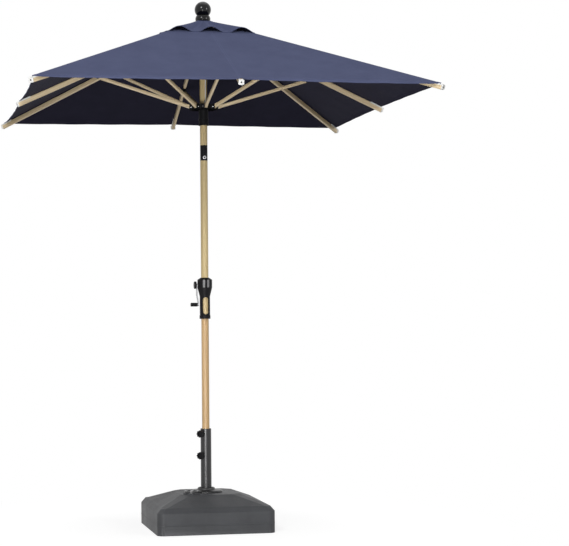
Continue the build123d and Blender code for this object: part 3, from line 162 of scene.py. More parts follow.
# Lift cord
CORD_R = 0.002
CORD_AZIMUTH = radians(-80)
CORD_OUT_R = 0.029  # from the pole's axis
CORD_END = 0.006  # goes into the runner
CORD_STEPS = 40
CORD_SIDES = 12
KNOT_R = 0.0058
KNOT_RISE = 0.012  # above the runner's top
KNOT_CORE = 0.62  # middle width of the knot's loops as a share of KNOT_R
KNOT_HEIGHT = 0.8
KNOT_TURNS = 2
KNOT_LOOPS = 3
KNOT_STEPS = 60
KNOT_SIDES = 10

# Button spring
SPRING_WIRE_R = 0.00035
SPRING_TURNS = 3
SPRING_TURN_STEPS = 24
SPRING_SIDES = 8

# Rivets
RIVET_R = 0.0048
RIVET_RISE = 0.0022
RIVET_RINGS = 4
RIVET_SIDES = 14
RIB_PIN_HALF = 0.0078
FORK_PIN_HALF = 0.0146
FORK_PIN_R = 0.066  # from the pole's axis
FORK_PIN_DROP = 0.013  # below the runner's top


def turned(point, azimuth):
    """A point of the +X side carried round the pole by an azimuth in degrees."""
    return Matrix.Rotation(radians(azimuth), 3, "Z") @ Vector(point)


# Materials


def shader(name, color, roughness, metallic=0.0, **sockets):
    """A new material whose Principled shader has these plain values."""
    made = bpy.data.materials.new(name)
    made.use_nodes = True
    bsdf = made.node_tree.nodes["Principled BSDF"]
    bsdf.inputs["Base Color"].default_value = (*color, 1)
    bsdf.inputs["Roughness"].default_value = roughness
    bsdf.inputs["Metallic"].default_value = metallic
    for socket, value in sockets.items():
        bsdf.inputs[socket.replace("_", " ")].default_value = value
    return made, made.node_tree, bsdf


def grey(level):
    """Colour with the same level in red, green and blue."""
    return (level,) * 3


def scaled(color, factor):
    """The colour made lighter or darker by a factor."""
    return tuple(min(1.0, factor * part) for part in color)


def add_node(tree, kind, **values):
    """A node of that kind. Values name its properties or its inputs."""
    node = tree.nodes.new(kind)
    for name, value in values.items():
        if hasattr(node, name):
            setattr(node, name, value)
        else:
            node.inputs[name.replace("_", " ")].default_value = value
    return node


def place(tree, turn=0.0, dip=0.0, stretch=(1, 1, 1)):
    """Object coordinates turned about Z, then dipped about Y, then stretched."""
    vector = add_node(tree, "ShaderNodeTexCoord").outputs["Object"]
    # A mapping scales before it turns, so each step has a node of its own.
    for step in ({"Rotation": (0, 0, turn)}, {"Rotation": (0, dip, 0)}, {"Scale": stretch}):
        mapping = add_node(tree, "ShaderNodeMapping", **step)
        tree.links.new(vector, mapping.inputs["Vector"])
        vector = mapping.outputs["Vector"]
    return vector


def noise(tree, vector, scale, detail, roughness=0.5):
    """Output of a noise texture on those coordinates."""
    node = add_node(tree, "ShaderNodeTexNoise", Scale=scale, Detail=detail, Roughness=roughness)
    tree.links.new(vector, node.inputs["Vector"])
    return node.outputs["Fac"]


def ramp(tree, factor, stops):
    """Colour ramp through (position, colour) stops."""
    node = add_node(tree, "ShaderNodeValToRGB")
    elements = node.color_ramp.elements
    while len(elements) < len(stops):
        elements.new(0.5)
    for element, (position, color) in zip(elements, stops):
        element.position = position
        element.color = (*color, 1)
    tree.links.new(factor, node.inputs["Fac"])
    return node.outputs["Color"]


def blend_colors(tree, factor, first, second, mode="MIX"):
    """Colour mix of two colour outputs or plain colours."""
    node = add_node(tree, "ShaderNodeMix", data_type="RGBA", blend_type=mode)
    # The colour sockets of the mix come after its number and vector sockets.
    sockets = (node.inputs[0], node.inputs[6], node.inputs[7])
    for value, socket in zip((factor, first, second), sockets):
        if isinstance(value, bpy.types.NodeSocket):
            tree.links.new(value, socket)
        elif isinstance(value, tuple):
            socket.default_value = (*value, 1)
        else:
            socket.default_value = value
    return node.outputs[2]


def math_node(tree, operation, first, second=0.0):
    """One arithmetic node on outputs or plain numbers."""
    node = add_node(tree, "ShaderNodeMath", operation=operation)
    for value, socket in zip((first, second), node.inputs):
        if isinstance(value, bpy.types.NodeSocket):
            tree.links.new(value, socket)
        else:
            socket.default_value = value
    return node.outputs[0]


def bump(tree, bsdf, height, strength, distance):
    """Bump the surface by a height output, in metres of distance."""
    node = add_node(tree, "ShaderNodeBump", Strength=strength, Distance=distance)
    tree.links.new(height, node.inputs["Height"])
    tree.links.new(node.outputs["Normal"], bsdf.inputs["Normal"])
    return node


WOOD_LIGHT = (0.66, 0.52, 0.27)
WOOD_MID = (0.59, 0.455, 0.225)
WOOD_DARK = (0.47, 0.345, 0.165)
# The ribs and struts carry the pole's wood finish, coloured paler and less saturated here: painted light
# for their shaded place under the canopy.
RIB_PALE_PAINTED_LIGHT = (0.86, 0.70, 0.46)
RIB_MID_PAINTED_LIGHT = (0.78, 0.62, 0.39)
# The lower pole carries the same wood finish, coloured darker here: painted shade against the stronger
# light it gets near the floor.
LOWER_POLE_LIGHT_PAINTED_SHADE = (0.63, 0.42, 0.212)
LOWER_POLE_MID_PAINTED_SHADE = (0.57, 0.37, 0.175)


def wood_finish(name, turn=0.0, dip=0.0, light=WOOD_LIGHT, mid=WOOD_MID):
    """Wood-grain coating with its grain along the bar."""
    made, tree, bsdf = shader(name, mid, roughness=0.42, Coat_Weight=0.15, Coat_Roughness=0.3)
    long_grain = place(tree, turn=turn, dip=dip, stretch=(1.2, 60, 60))
    streaks = place(tree, turn=turn, dip=dip, stretch=(4, 420, 420))
    figure = noise(tree, long_grain, scale=1.6, detail=5.0, roughness=0.62)
    fine = noise(tree, streaks, scale=1.0, detail=3.0)
    body = ramp(tree, figure, [(0.30, WOOD_DARK), (0.46, mid), (0.66, light)])
    thin = ramp(tree, fine, [(0.36, (0.80, 0.77, 0.72)), (0.60, grey(1))])
    color = blend_colors(tree, 0.75, body, thin, "MULTIPLY")
    tree.links.new(color, bsdf.inputs["Base Color"])
    rough = ramp(tree, fine, [(0.3, grey(0.52)), (0.7, grey(0.38))])
    tree.links.new(rough, bsdf.inputs["Roughness"])
    bump(tree, bsdf, fine, strength=0.25, distance=0.0004)
    return made


CLOTH_TOP = (0.100, 0.116, 0.212)
CLOTH_TOP_SHADE = (0.088, 0.102, 0.190)
# The underside is the same navy fabric as the top, coloured much darker: painted shade for the unlit
# underside.
CLOTH_UNDER_PAINTED_SHADE = (0.020, 0.019, 0.036)
CLOTH_UNDER_PAINTED_SHADE_MOTTLE = scaled(CLOTH_UNDER_PAINTED_SHADE, 0.8)
WEAVE_PITCH = 0.0011
WAVE_TURNS = 20.0  # radians per unit of a wave texture at scale 1
STITCH_PITCH = 0.004
STITCH_INSET = 0.003
STITCH_HALF = 0.0006
STITCH_GAP = 0.0005
STITCH_LIGHTER = 1.45
SEAM_HALF = 0.008


def cloth_finish(name, color, shade):
    """Woven polyester with a felled seam by its rib, a stitched hem and faint mottling.

    The cloth map gives the distance from the rib seam and from the hem, in metres."""
    made, tree, bsdf = shader(name, color, roughness=0.9, Specular_IOR_Level=0.12)
    link = tree.links.new
    coords = add_node(tree, "ShaderNodeTexCoord")
    split = add_node(tree, "ShaderNodeSeparateXYZ")
    link(coords.outputs["UV"], split.inputs["Vector"])
    from_seam, from_hem = split.outputs["X"], split.outputs["Y"]
    threads = []
    for direction in ("X", "Y"):
        wave = add_node(tree, "ShaderNodeTexWave", bands_direction=direction)
        wave.inputs["Scale"].default_value = 2 * pi / (WAVE_TURNS * WEAVE_PITCH)
        wave.inputs["Distortion"].default_value = 0.6
        link(coords.outputs["UV"], wave.inputs["Vector"])
        threads.append(wave.outputs["Fac"])
    weave = math_node(tree, "MAXIMUM", *threads)
    mottle = noise(tree, coords.outputs["Object"], scale=9.0, detail=6.0, roughness=0.6)
    cloudy = ramp(tree, mottle, [(0.32, shade), (0.68, color)])
    # The gaps between the threads are coloured darker: painted shade in the weave's hollows.
    weave_gap_painted_shade = blend_colors(tree, weave, (0.86, 0.86, 0.88), grey(1.0))
    base = blend_colors(tree, 1.0, cloudy, weave_gap_painted_shade, "MULTIPLY")
    # Stitch rows: one by the seam and one inside the hem, broken into single stitches.
    rows = []
    for across, along, place_at in (
        (from_hem, from_seam, HEM_BAND - STITCH_INSET),
        (from_seam, from_hem, SEAM_HALF - STITCH_INSET),
    ):
        row = math_node(tree, "COMPARE", across, place_at)
        row.node.inputs[2].default_value = STITCH_HALF
        dash = math_node(tree, "PINGPONG", along, STITCH_PITCH / 2)
        rows.append(math_node(tree, "MULTIPLY", row, math_node(tree, "GREATER_THAN", dash, STITCH_GAP)))
    stitches = math_node(tree, "MAXIMUM", *rows)
    sewn = blend_colors(tree, stitches, base, scaled(color, STITCH_LIGHTER))
    link(sewn, bsdf.inputs["Base Color"])
    seam_band = math_node(tree, "LESS_THAN", from_seam, SEAM_HALF)
    relief = math_node(tree, "ADD", math_node(tree, "MULTIPLY", weave, 0.35), seam_band)
    relief = math_node(tree, "ADD", relief, math_node(tree, "MULTIPLY", stitches, 0.8))
    bump(tree, bsdf, relief, strength=0.5, distance=0.0006)
    return made


def moulded(
    name, color, roughness, grain=900.0, depth=0.00015, variation=0.25, haze=0.1, specular=0.5
):
    """Moulded plastic or powder coat with a fine grain and slightly uneven gloss."""
    made, tree, bsdf = shader(name, color, roughness, Specular_IOR_Level=specular)
    coords = place(tree)
    fine = noise(tree, coords, scale=grain, detail=3.0, roughness=0.6)
    broad = noise(tree, coords, scale=7.0, detail=5.0, roughness=0.55)
    darker, lighter = scaled(color, 1 - variation), scaled(color, 1 + variation)
    tree.links.new(ramp(tree, broad, [(0.3, darker), (0.7, lighter)]), bsdf.inputs["Base Color"])
    duller = min(1.0, roughness + haze)
    glossier = max(0.02, roughness - 0.08)
    rough = ramp(tree, broad, [(0.3, grey(duller)), (0.7, grey(glossier))])
    tree.links.new(rough, bsdf.inputs["Roughness"])
    bump(tree, bsdf, fine, strength=0.4, distance=depth)
    return made


BASE_GREY = (0.046, 0.0475, 0.0515)
BASE_EDGE_R = 0.004


def pebbled(name):
    """The tank's blow-moulded plastic: pebbled, scuffed, with paler worn edges."""
    made, tree, bsdf = shader(name, BASE_GREY, roughness=0.5, Specular_IOR_Level=0.3)
    coords = place(tree)
    link = tree.links.new
    cells = add_node(tree, "ShaderNodeTexVoronoi", feature="SMOOTH_F1", Scale=420.0, Smoothness=0.6)
    link(coords, cells.inputs["Vector"])
    broad = noise(tree, coords, scale=5.0, detail=6.0, roughness=0.6)
    drawn_out = place(tree, stretch=(1, 6, 6))
    scuffs = noise(tree, drawn_out, scale=60.0, detail=6.0, roughness=0.7)
    body = ramp(tree, broad, [(0.3, scaled(BASE_GREY, 0.82)), (0.7, scaled(BASE_GREY, 1.2))])
    scuffed = ramp(tree, scuffs, [(0.62, grey(0)), (0.80, (0.035, 0.035, 0.036))])
    worn = blend_colors(tree, 1.0, body, scuffed, "ADD")
    edges = add_node(tree, "ShaderNodeNewGeometry")
    pointed = edges.outputs["Pointiness"]
    edge_wear = ramp(tree, pointed, [(0.52, grey(0)), (0.60, (0.05, 0.05, 0.052))])
    link(blend_colors(tree, 1.0, worn, edge_wear, "ADD"), bsdf.inputs["Base Color"])
    link(ramp(tree, broad, [(0.3, grey(0.58)), (0.7, grey(0.44))]), bsdf.inputs["Roughness"])
    rounded = add_node(tree, "ShaderNodeBevel", samples=4, Radius=BASE_EDGE_R)
    pebbles = bump(tree, bsdf, cells.outputs["Distance"], strength=0.5, distance=0.0008)
    link(rounded.outputs["Normal"], pebbles.inputs["Normal"])
    return made


def brushed(name, color, roughness, stretch):
    """Bright metal with fine drawn lines and a few smudges."""
    made, tree, bsdf = shader(name, color, roughness, metallic=1.0)
    lines = noise(tree, place(tree, stretch=stretch), scale=40.0, detail=4.0, roughness=0.6)
    smudge = noise(tree, place(tree), scale=25.0, detail=3.0)
    duller = min(1.0, roughness + 0.14)
    uneven = ramp(tree, smudge, [(0.35, grey(roughness)), (0.75, grey(duller))])
    tree.links.new(uneven, bsdf.inputs["Roughness"])
    bump(tree, bsdf, lines, strength=0.12, distance=0.0002)
    return made


BRAID_LEAN = 0.6
BRAID_SCALE = 190.0
BRAID_LIGHT = (0.93, 0.92, 0.89)
BRAID_MID = (0.78, 0.77, 0.73)
BRAID_GROOVE_PAINTED_SHADE = (0.74, 0.73, 0.70)


def braided(name):
    """White braided cord, coloured darker in the grooves between its strands as painted shade."""
    made, tree, bsdf = shader(name, BRAID_MID, roughness=0.8, Sheen_Weight=0.2)
    coords = add_node(tree, "ShaderNodeTexCoord")
    ridges = []
    for lean in (BRAID_LEAN, -BRAID_LEAN):
        turned_map = add_node(tree, "ShaderNodeMapping", Rotation=(0, lean, 0))
        wave = add_node(tree, "ShaderNodeTexWave", bands_direction="Z", Scale=BRAID_SCALE)
        tree.links.new(coords.outputs["Object"], turned_map.inputs["Vector"])
        tree.links.new(turned_map.outputs["Vector"], wave.inputs["Vector"])
        ridges.append(wave.outputs["Fac"])
    plait = math_node(tree, "MAXIMUM", *ridges)
    # Darker in the grooves that the bump sinks: painted shade.
    color = ramp(tree, plait, [(0.2, BRAID_GROOVE_PAINTED_SHADE), (0.8, BRAID_LIGHT)])
    tree.links.new(color, bsdf.inputs["Base Color"])
    bump(tree, bsdf, plait, strength=0.6, distance=0.0005)
    return made


POLE_TURN = radians(90)
MAT = {
    "pole": wood_finish("wood_pole", dip=POLE_TURN),
    # Darker copy of the pole's wood: painted shade.
    "lower_pole": wood_finish("wood_lower_pole_painted_shade", dip=POLE_TURN, light=LOWER_POLE_LIGHT_PAINTED_SHADE, mid=LOWER_POLE_MID_PAINTED_SHADE),
    "cloth": cloth_finish("canopy_top_cloth", CLOTH_TOP, CLOTH_TOP_SHADE),
    # Darker copy of the canopy cloth for its underside: painted shade.
    "cloth_under_painted_shade": cloth_finish("canopy_under_cloth_painted_shade", CLOTH_UNDER_PAINTED_SHADE, CLOTH_UNDER_PAINTED_SHADE_MOTTLE),
    "base": pebbled("base_pebbled_plastic"),
    "black": moulded("black_moulded_plastic", (0.006, 0.006, 0.007), 0.42, specular=0.12),
    "gloss": moulded(
        "black_gloss_plastic", (0.002, 0.002, 0.0025), 0.05,
        grain=300.0, depth=0.00001, variation=0.2, haze=0.02, specular=0.32,
    ),
    "powder": moulded(
        "black_powder_coat", (0.012, 0.012, 0.013), 0.34, grain=1500.0, depth=0.0001
    ),
    "matte": moulded("black_matte_plastic", (0.007, 0.007, 0.008), 0.75, specular=0.0),
    "cap": moulded("black_cap_plastic", (0.016, 0.016, 0.018), 0.28, grain=700.0, depth=0.0001),
    "white": moulded(
        "white_moulded_plastic", (0.80, 0.80, 0.78), 0.40, grain=600.0, depth=0.0001, variation=0.04
    ),
    # Pale grey on the housing's black raised bars: painted highlight for the light they catch.
    "grey": moulded(
        "housing_bar_painted_highlight", (0.15, 0.15, 0.155), 0.40, grain=600.0, depth=0.0001, variation=0.08
    ),
    "chrome": brushed("bright_chrome", (0.62, 0.62, 0.63), 0.16, (1, 1, 12)),
    "arm": brushed("crank_arm_chrome", (0.36, 0.36, 0.37), 0.28, (1, 1, 12)),
    "steel": brushed("zinc_steel", (0.60, 0.60, 0.60), 0.30, (12, 1, 1)),
    "cord": braided("white_braided_cord"),
}


def dress(node, *materials):
    """Give a CAD node these materials in place of its own."""
    slots = NODES[node].data.materials
    slots.clear()
    for name in materials:
        slots.append(MAT[name] if isinstance(name, str) else name)


def paint(node, choose):
    """Give each face of a CAD node the material slot that choose(centre, normal) says."""
    for face in NODES[node].data.polygons:
        face.material_index = choose(face.center, face.normal)


# Mesh helpers


def mesh_object(name, points, faces, *materials):
    """A smooth-shaded mesh object from points and faces."""
    mesh = bpy.data.meshes.new(name)
    mesh.from_pydata([tuple(p) for p in points], [], faces)
    mesh.validate()
    for material in materials:
        mesh.materials.append(MAT[material])
    for face in mesh.polygons:
        face.use_smooth = True
    made = bpy.data.objects.new(name, mesh)
    bpy.context.scene.collection.objects.link(made)
    return made


def grid_faces(rows, columns, flipped):
    """Quads of a rows by columns grid of points, facing up unless flipped."""
    faces = []
    for row in range(rows - 1):
        for column in range(columns - 1):
            first = row * columns + column
            quad = (first, first + columns, first + columns + 1, first + 1)
            faces.append(quad[::-1] if flipped else quad)
    return faces


def cloth_sheet(name, points, maps, rows, columns, flipped):
    """A cloth sheet from a grid of points, thicker in the rows of its hem.

    maps holds each point's distance from its seam and from its hem."""
    made = mesh_object(name, points, grid_faces(rows, columns, flipped), "cloth", "cloth_under_painted_shade")
    layer = made.data.uv_layers.new(name="cloth_map")
    for loop in made.data.loops:
        layer.data[loop.index].uv = maps[loop.vertex_index]
    thick = made.vertex_groups.new(name="thick")
    hem_start = (rows - HEM_ROWS) * columns
    for index in range(len(points)):
        thick.add([index], 1.0 if index >= hem_start else CLOTH_THIN, "REPLACE")
    solid = thicken(made, CLOTH_THICK / CLOTH_THIN)
    solid.vertex_group = "thick"
    solid.use_even_offset = True
    solid.material_offset_rim = 0
    crisp_edges(made)
    return made


def thicken(made, thickness):
    """Give a sheet its thickness, with its second material on the underside."""
    solid = made.modifiers.new("cloth", "SOLIDIFY")
    solid.thickness = thickness
    solid.offset = 0.0
    # The underside layer takes the second material, the darker cloth that carries painted shade.
    solid.material_offset = 1
    return solid


def crisp_edges(made):
    """Keep a cloth's cut edges from rounding the shading of its faces."""
    split = made.modifiers.new("edges", "EDGE_SPLIT")
    split.split_angle = CLOTH_EDGE_ANGLE


def ring_faces(rings, sides, first=0):
    """Quads between rings of points that follow each other from a first point on."""
    faces = []
    for ring in range(rings - 1):
        for side in range(sides):
            following = (side + 1) % sides
            low, high = first + ring * sides, first + (ring + 1) * sides
            faces.append((low + side, low + following, high + following, high + side))
    return faces


def tube_mesh(name, path, radius, sides, material):
    """Round tube along a list of points."""
    points = []
    for index, spot in enumerate(path):
        before, after = path[max(index - 1, 0)], path[min(index + 1, len(path) - 1)]
        along = (after - before).normalized()
        if index == 0:
            across = along.orthogonal().normalized()
        else:
            across = (across - along * across.dot(along)).normalized()
        other = along.cross(across)
        for side in range(sides):
            turn = 2 * pi * side / sides
            points.append(spot + radius * (cos(turn) * across + sin(turn) * other))
    faces = ring_faces(len(path), sides)
    faces.append(tuple(range(sides))[::-1])
    faces.append(tuple(range((len(path) - 1) * sides, len(path) * sides)))
    return mesh_object(name, points, faces, material)


# Canopy

# In the plane of a face, its middle rib and its corner rib stand FACE_ANGLE apart. The crease
# between them halves it, and CREASE is its share of the way to the corner.
FACE_ANGLE = atan(cos(SLOPE))
CREASE = tan(FACE_ANGLE / 2) / cos(SLOPE)
FACE_UP = Vector((sin(SLOPE), 0, cos(SLOPE)))


def canopy_point(share, reach):
    """Point of the +X side: share runs from the middle rib (0) to the corner rib (1)
    and reach from the vent hole (0) to the hem (1)."""
    bow = 4 * share * (1 - share)
    hem = CLOTH_HALF - HEM_SHORT * (1 - share) - bow * HEM_SAG * cos(SLOPE)
    out = VENT_HOLE + (hem - VENT_HOLE) * reach
    level = Vector((out, out * share, APEX_Z - out * tan(SLOPE)))
    spread = out / CLOTH_HALF
    free = max(0.0, sin(pi * share))
    dip = CLOTH_DIP * free * spread**CLOTH_DIP_POWER
    pull = PULL_RISE * free * sin(PULL_WAVES * pi * share) * spread**PULL_POWER
    edge = max(0.0, 1 - (1 - reach) * (hem - VENT_HOLE) / cos(SLOPE) / HEM_HANG)
    droop = HEM_DROOP * free**HEM_ROUND * edge**2
    return level + FACE_UP * (CLOTH_MID - dip + pull - droop)


def spaced_rows(count, band, length):
    """Shares along a length: even rows, then HEM_ROWS close ones in the hem band."""
    edge = 1 - band / length
    step = HEM_STEP / length
    last = count - HEM_ROWS - 1
    plain = [edge * index / last for index in range(last + 1)]
    return plain + [edge + step, (edge + 1) / 2 + step, 1.0]


def is_middle(rib):
    """Whether a rib runs down the middle of a face and not to a corner."""
    return RIBS[rib] % 90 == 0


def face_azimuth(rib, side):
    """Azimuth of the face that one side of a rib belongs to."""
    return RIBS[rib] if is_middle(rib) else RIBS[rib] + 45 * SIDES[side]


def half_sheet(name, rib, side, rows, rays, length, point_at):
    """The cloth between a rib and the fold beside it.

    point_at(share, reach) gives the points of the +X side."""
    sign = SIDES[side]
    middle = is_middle(rib)
    face = face_azimuth(rib, side)
    points, maps = [], []
    for reach in rows:
        edge = point_at(0 if middle else 1, reach)
        for ray in range(rays + 1):
            away = ray / rays
            share = CREASE * away if middle else 1 - (1 - CREASE) * away
            point = point_at(share, reach)
            maps.append(((point - edge).length, (1 - reach) * length))
            point.y *= sign if middle else -sign
            points.append(turned(point, face))
    # The halves behind their ribs run the other way round.
    made = cloth_sheet(name, points, maps, len(rows), rays + 1, sign < 0)
    return made


def pleat(made, rib, side, out):
    """Bake a half sheet's placement into its mesh; it is tied neither to its rib nor to its fold's body.
    """
    azimuth = RIBS[rib]
    sign = SIDES[side]
    node = f"canopy_{rib}_{side}"
    along = Vector(JOINTS[f"{node}_fold"]["axis"]) * sign
    across = turned((0, 1, 0), azimuth) * sign
    across -= along * across.dot(along)
    spot = turned((out, 0, APEX_Z), azimuth)
    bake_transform(made)


def half_panel(rib, side):
    """The canopy between one rib and the fold beside it."""
    length = (CLOTH_HALF - VENT_HOLE) / cos(SLOPE)
    rows = spaced_rows(CLOTH_ROWS, HEM_BAND, length)
    name = f"canopy_cloth_{rib}_{side}"
    made = half_sheet(name, rib, side, rows, CLOTH_RAYS, length, canopy_point)
    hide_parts(f"canopy_{rib}_{side}")
    pleat(made, rib, side, CLOTH_HALF / 2)


def arch_share(off):
    """Height of an arch, 1 at its middle, at a distance along the hem from there."""
    return cos(pi / 2 * min(1.0, abs(off) / VENT_ARCH_HALF)) ** VENT_ARCH_ROUND


def vent_point(share, reach, corner_rise):
    """Point of the vent flap's +X side: share from its middle (0) to its corner (1),
    reach from the crown (0) to the hem (1). The arch by the corner has its own rise."""
    out = VENT_CROWN + (VENT_HALF - VENT_CROWN) * reach
    hem_z = APEX_Z - VENT_HALF * tan(SLOPE) + CLOTH_THICK / cos(SLOPE) + VENT_GAP
    fall = (out - VENT_FLAT_TOP) / (VENT_HALF - VENT_FLAT_TOP)
    level = VENT_TOP_Z + (hem_z - VENT_TOP_Z) * fall
    along = share * VENT_HALF
    middle_arch = arch_share(along)
    corner_arch = arch_share(along - VENT_ARCH_STEP)
    arch = max(VENT_ARCH_RISE * middle_arch, corner_rise * corner_arch)
    # The cloth falls in between its arches.
    fold = VENT_FOLD * (1 - max(middle_arch, corner_arch)) * sin(pi * fall)
    return Vector((out, out * share, level + arch * fall**VENT_ARCH_POWER - fold))


def corner_arch_rise(face):
    """Rise of the arches by the corners on the face at an azimuth. The sides have low ones."""
    return VENT_SIDE_RISE if face % 180 == 0 else VENT_ARCH_RISE


def vent_half(rib, side):
    """The vent flap between one rib and the fold beside it."""
    rise = corner_arch_rise(face_azimuth(rib, side))
    length = (VENT_HALF - VENT_CROWN) / cos(SLOPE)
    rows = spaced_rows(VENT_ROWS, HEM_BAND / 2, length)

    def point_at(share, reach):
        return vent_point(share, reach, rise)

    made = half_sheet(f"vent_cloth_{rib}_{side}", rib, side, rows, VENT_RAYS, length, point_at)
    pleat(made, rib, side, VENT_HALF)


def vent_crown():
    """The flap's top round the finial, which stays on the mast."""
    sides = 8 * VENT_RAYS
    face_sides = sides // 4
    points, faces = [], []
    for ring in range(VENT_CROWN_RINGS):
        out = VENT_EYE + (VENT_CROWN - VENT_EYE) * ring / (VENT_CROWN_RINGS - 1)
        fall = max(0.0, (out - VENT_FLAT_TOP)) / (VENT_CROWN - VENT_FLAT_TOP)
        for side in range(sides):
            quarter, step = divmod(side, face_sides)
            share = 2 * step / face_sides - 1
            edge = vent_point(abs(share), 0, corner_arch_rise(90 * quarter))
            z = VENT_TOP_Z + (edge.z - VENT_TOP_Z) * fall
            points.append(turned((out, out * share, z), 90 * quarter))
    for face in ring_faces(VENT_CROWN_RINGS, sides):
        faces.append((face[0], face[3], face[2], face[1]))
    made = mesh_object("vent_crown", points, faces, "cloth", "cloth_under_painted_shade")
    layer = made.data.uv_layers.new(name="cloth_map")
    for loop in made.data.loops:
        layer.data[loop.index].uv = VENT_CROWN_MAP
    thicken(made, CLOTH_THICK)
    crisp_edges(made)
    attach(made, "mast")
    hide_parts("vent_flap")


# Frame dressing


def dress_rib(rib):
    """Wood-look bar with black fittings, white end cap and plate, rivets and its strut."""
    azimuth = RIBS[rib]
    node = f"rib_{rib}"
    pin = turned((HUB_R, 0, HUB_Z), azimuth)
    strut_at = Vector(JOINTS[f"strut_{rib}_hinge"]["pos_m"])
    tangent = turned((0, 1, 0), azimuth)
    angle = rib_slope(rib, azimuth)
    along = turned((cos(angle), 0, -sin(angle)), azimuth)
    up = turned((sin(angle), 0, cos(angle)), azimuth)
    length = max((v.co - pin).dot(along) for v in NODES[node].data.vertices) - RIB_CAP_END
    joint = (strut_at - pin).dot(along)
    bar, fitting, cap = range(3)

    def choose(centre, normal):
        spot = centre - pin
        reach, side, height = spot.dot(along), abs(spot.dot(tangent)), spot.dot(up)
        outside = side > RIB_WIDTH / 2 + SKIN or abs(height) > RIB_HEIGHT / 2 + SKIN
        if reach < RIB_FITTING - SKIN:
            return fitting
        # The cap's hole is coloured black: painted shade.
        if reach > length + SKIN and hypot(side, height) < RIB_CAP_HOLE_R + SKIN:
            return fitting
        if reach > length - SKIN:
            return cap
        if outside and abs(reach - joint) < BRACKET_HALF:
            return fitting
        if outside and reach > length - RIB_CAP_LENGTH - SKIN:
            return cap
        return bar

    grain = {"turn": -radians(azimuth), "dip": -angle}
    # Paler copy of the wood: painted light for the shade under the canopy.
    wood = wood_finish(f"wood_{node}", light=RIB_PALE_PAINTED_LIGHT, mid=RIB_MID_PAINTED_LIGHT, **grain)
    dress(node, wood, "black", "white")
    paint(node, choose)
    dress_strut(rib, azimuth, strut_at)
    rivets(f"rib_rivets_{rib}", f"rib_{rib}", strut_at, tangent, RIB_PIN_HALF)
    end_plate(rib, pin + along * (length + RIB_CAP_END), along, tangent)
    fork_at = turned((FORK_PIN_R, 0, RUNNER_TOP_Z - FORK_PIN_DROP), azimuth)
    rivets(f"fork_rivets_{rib}", "runner", fork_at, tangent, FORK_PIN_HALF)


def end_plate(rib, centre, along, across):
    """White end plate on the end of a rib, its rim eased; its shallow hole is coloured black as painted
    shade.
    """
    up = along.cross(across)
    eased = 1 - 2 * PLATE_EDGE / PLATE_HEIGHT
    bottom = PLATE_THICK / 3
    # Rings from the back rim to the hole: share of the outline or hole, height, in the hole
    rings = [
        (1.0, 0.0, False),
        (1.0, PLATE_THICK - PLATE_EDGE, False),
        (eased, PLATE_THICK, False),
        (1.0, PLATE_THICK, True),
        (1.0, bottom, True),
        (PLATE_CENTRE, bottom, True),
    ]
    points = []
    for share, height, in_hole in rings:
        for side in range(PLATE_SIDES):
            turn = 2 * pi * side / PLATE_SIDES
            c, s = cos(turn), sin(turn)
            # A rounded rectangle, or the round hole
            corner = (abs(c) ** PLATE_SQUARENESS + abs(s) ** PLATE_SQUARENESS) ** (-1 / PLATE_SQUARENESS)
            wide = PLATE_HOLE_R if in_hole else PLATE_WIDTH / 2 * corner
            tall = PLATE_HOLE_R if in_hole else PLATE_HEIGHT / 2 * corner
            rim = across * (share * wide * c) + up * (share * tall * s)
            points.append(centre + rim + along * height)
    faces = ring_faces(len(rings), PLATE_SIDES)
    faces.append(tuple(range(PLATE_SIDES))[::-1])
    last = (len(rings) - 1) * PLATE_SIDES
    faces.append(tuple(range(last, last + PLATE_SIDES)))
    made = mesh_object(f"rib_end_plate_{rib}", points, faces, "white", "black")
    for face in made.data.polygons:
        spot = face.center - centre
        height = spot.dot(along)
        off_axis = spot - along * height
        # The shallow hole's wall and floor are black: painted shade for a deep hole.
        face.material_index = int(off_axis.length < PLATE_HOLE_R + SKIN and height > PLATE_EDGE)
    crisp_edges(made)
    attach(made, f"rib_{rib}")


def rib_slope(rib, azimuth):
    """Angle of a rib below the horizontal, from its hub pin and its furthest end."""
    out = turned((1, 0, 0), azimuth)
    points = [(v.co.dot(out), v.co.z) for v in NODES[f"rib_{rib}"].data.vertices]
    far = max(r for r, _ in points)
    end = [(r, z) for r, z in points if r > far - RIB_END_ZONE]
    mid_r = (min(r for r, _ in end) + max(r for r, _ in end)) / 2
    mid_z = (min(z for _, z in end) + max(z for _, z in end)) / 2
    return atan((HUB_Z - mid_z) / (mid_r - HUB_R))


def dress_strut(rib, azimuth, strut_at):
    """Wood-look strut with a black head at the rib and bright pins."""
    node = f"strut_{rib}"
    out = turned((1, 0, 0), azimuth)
    tangent = turned((0, 1, 0), azimuth)
    foot = min((v.co for v in NODES[node].data.vertices), key=lambda co: co.z)
    run = Vector(foot) - strut_at
    run -= tangent * run.dot(tangent)
    dip = atan(run.z / run.dot(out))
    run.normalize()
    bar, head, pin = range(3)

    def choose(centre, normal):
        spot = centre - strut_at
        if spot.dot(run) < STRUT_HEAD - SKIN:
            return head
        if abs(spot.dot(tangent)) > STRUT_WIDTH / 2 + SKIN:
            return pin
        return bar

    grain = {"turn": -radians(azimuth), "dip": dip}
    # Paler copy of the wood: painted light for the shade under the canopy.
    wood = wood_finish(f"wood_{node}", light=RIB_PALE_PAINTED_LIGHT, mid=RIB_MID_PAINTED_LIGHT, **grain)
    dress(node, wood, "black", "chrome")
    paint(node, choose)


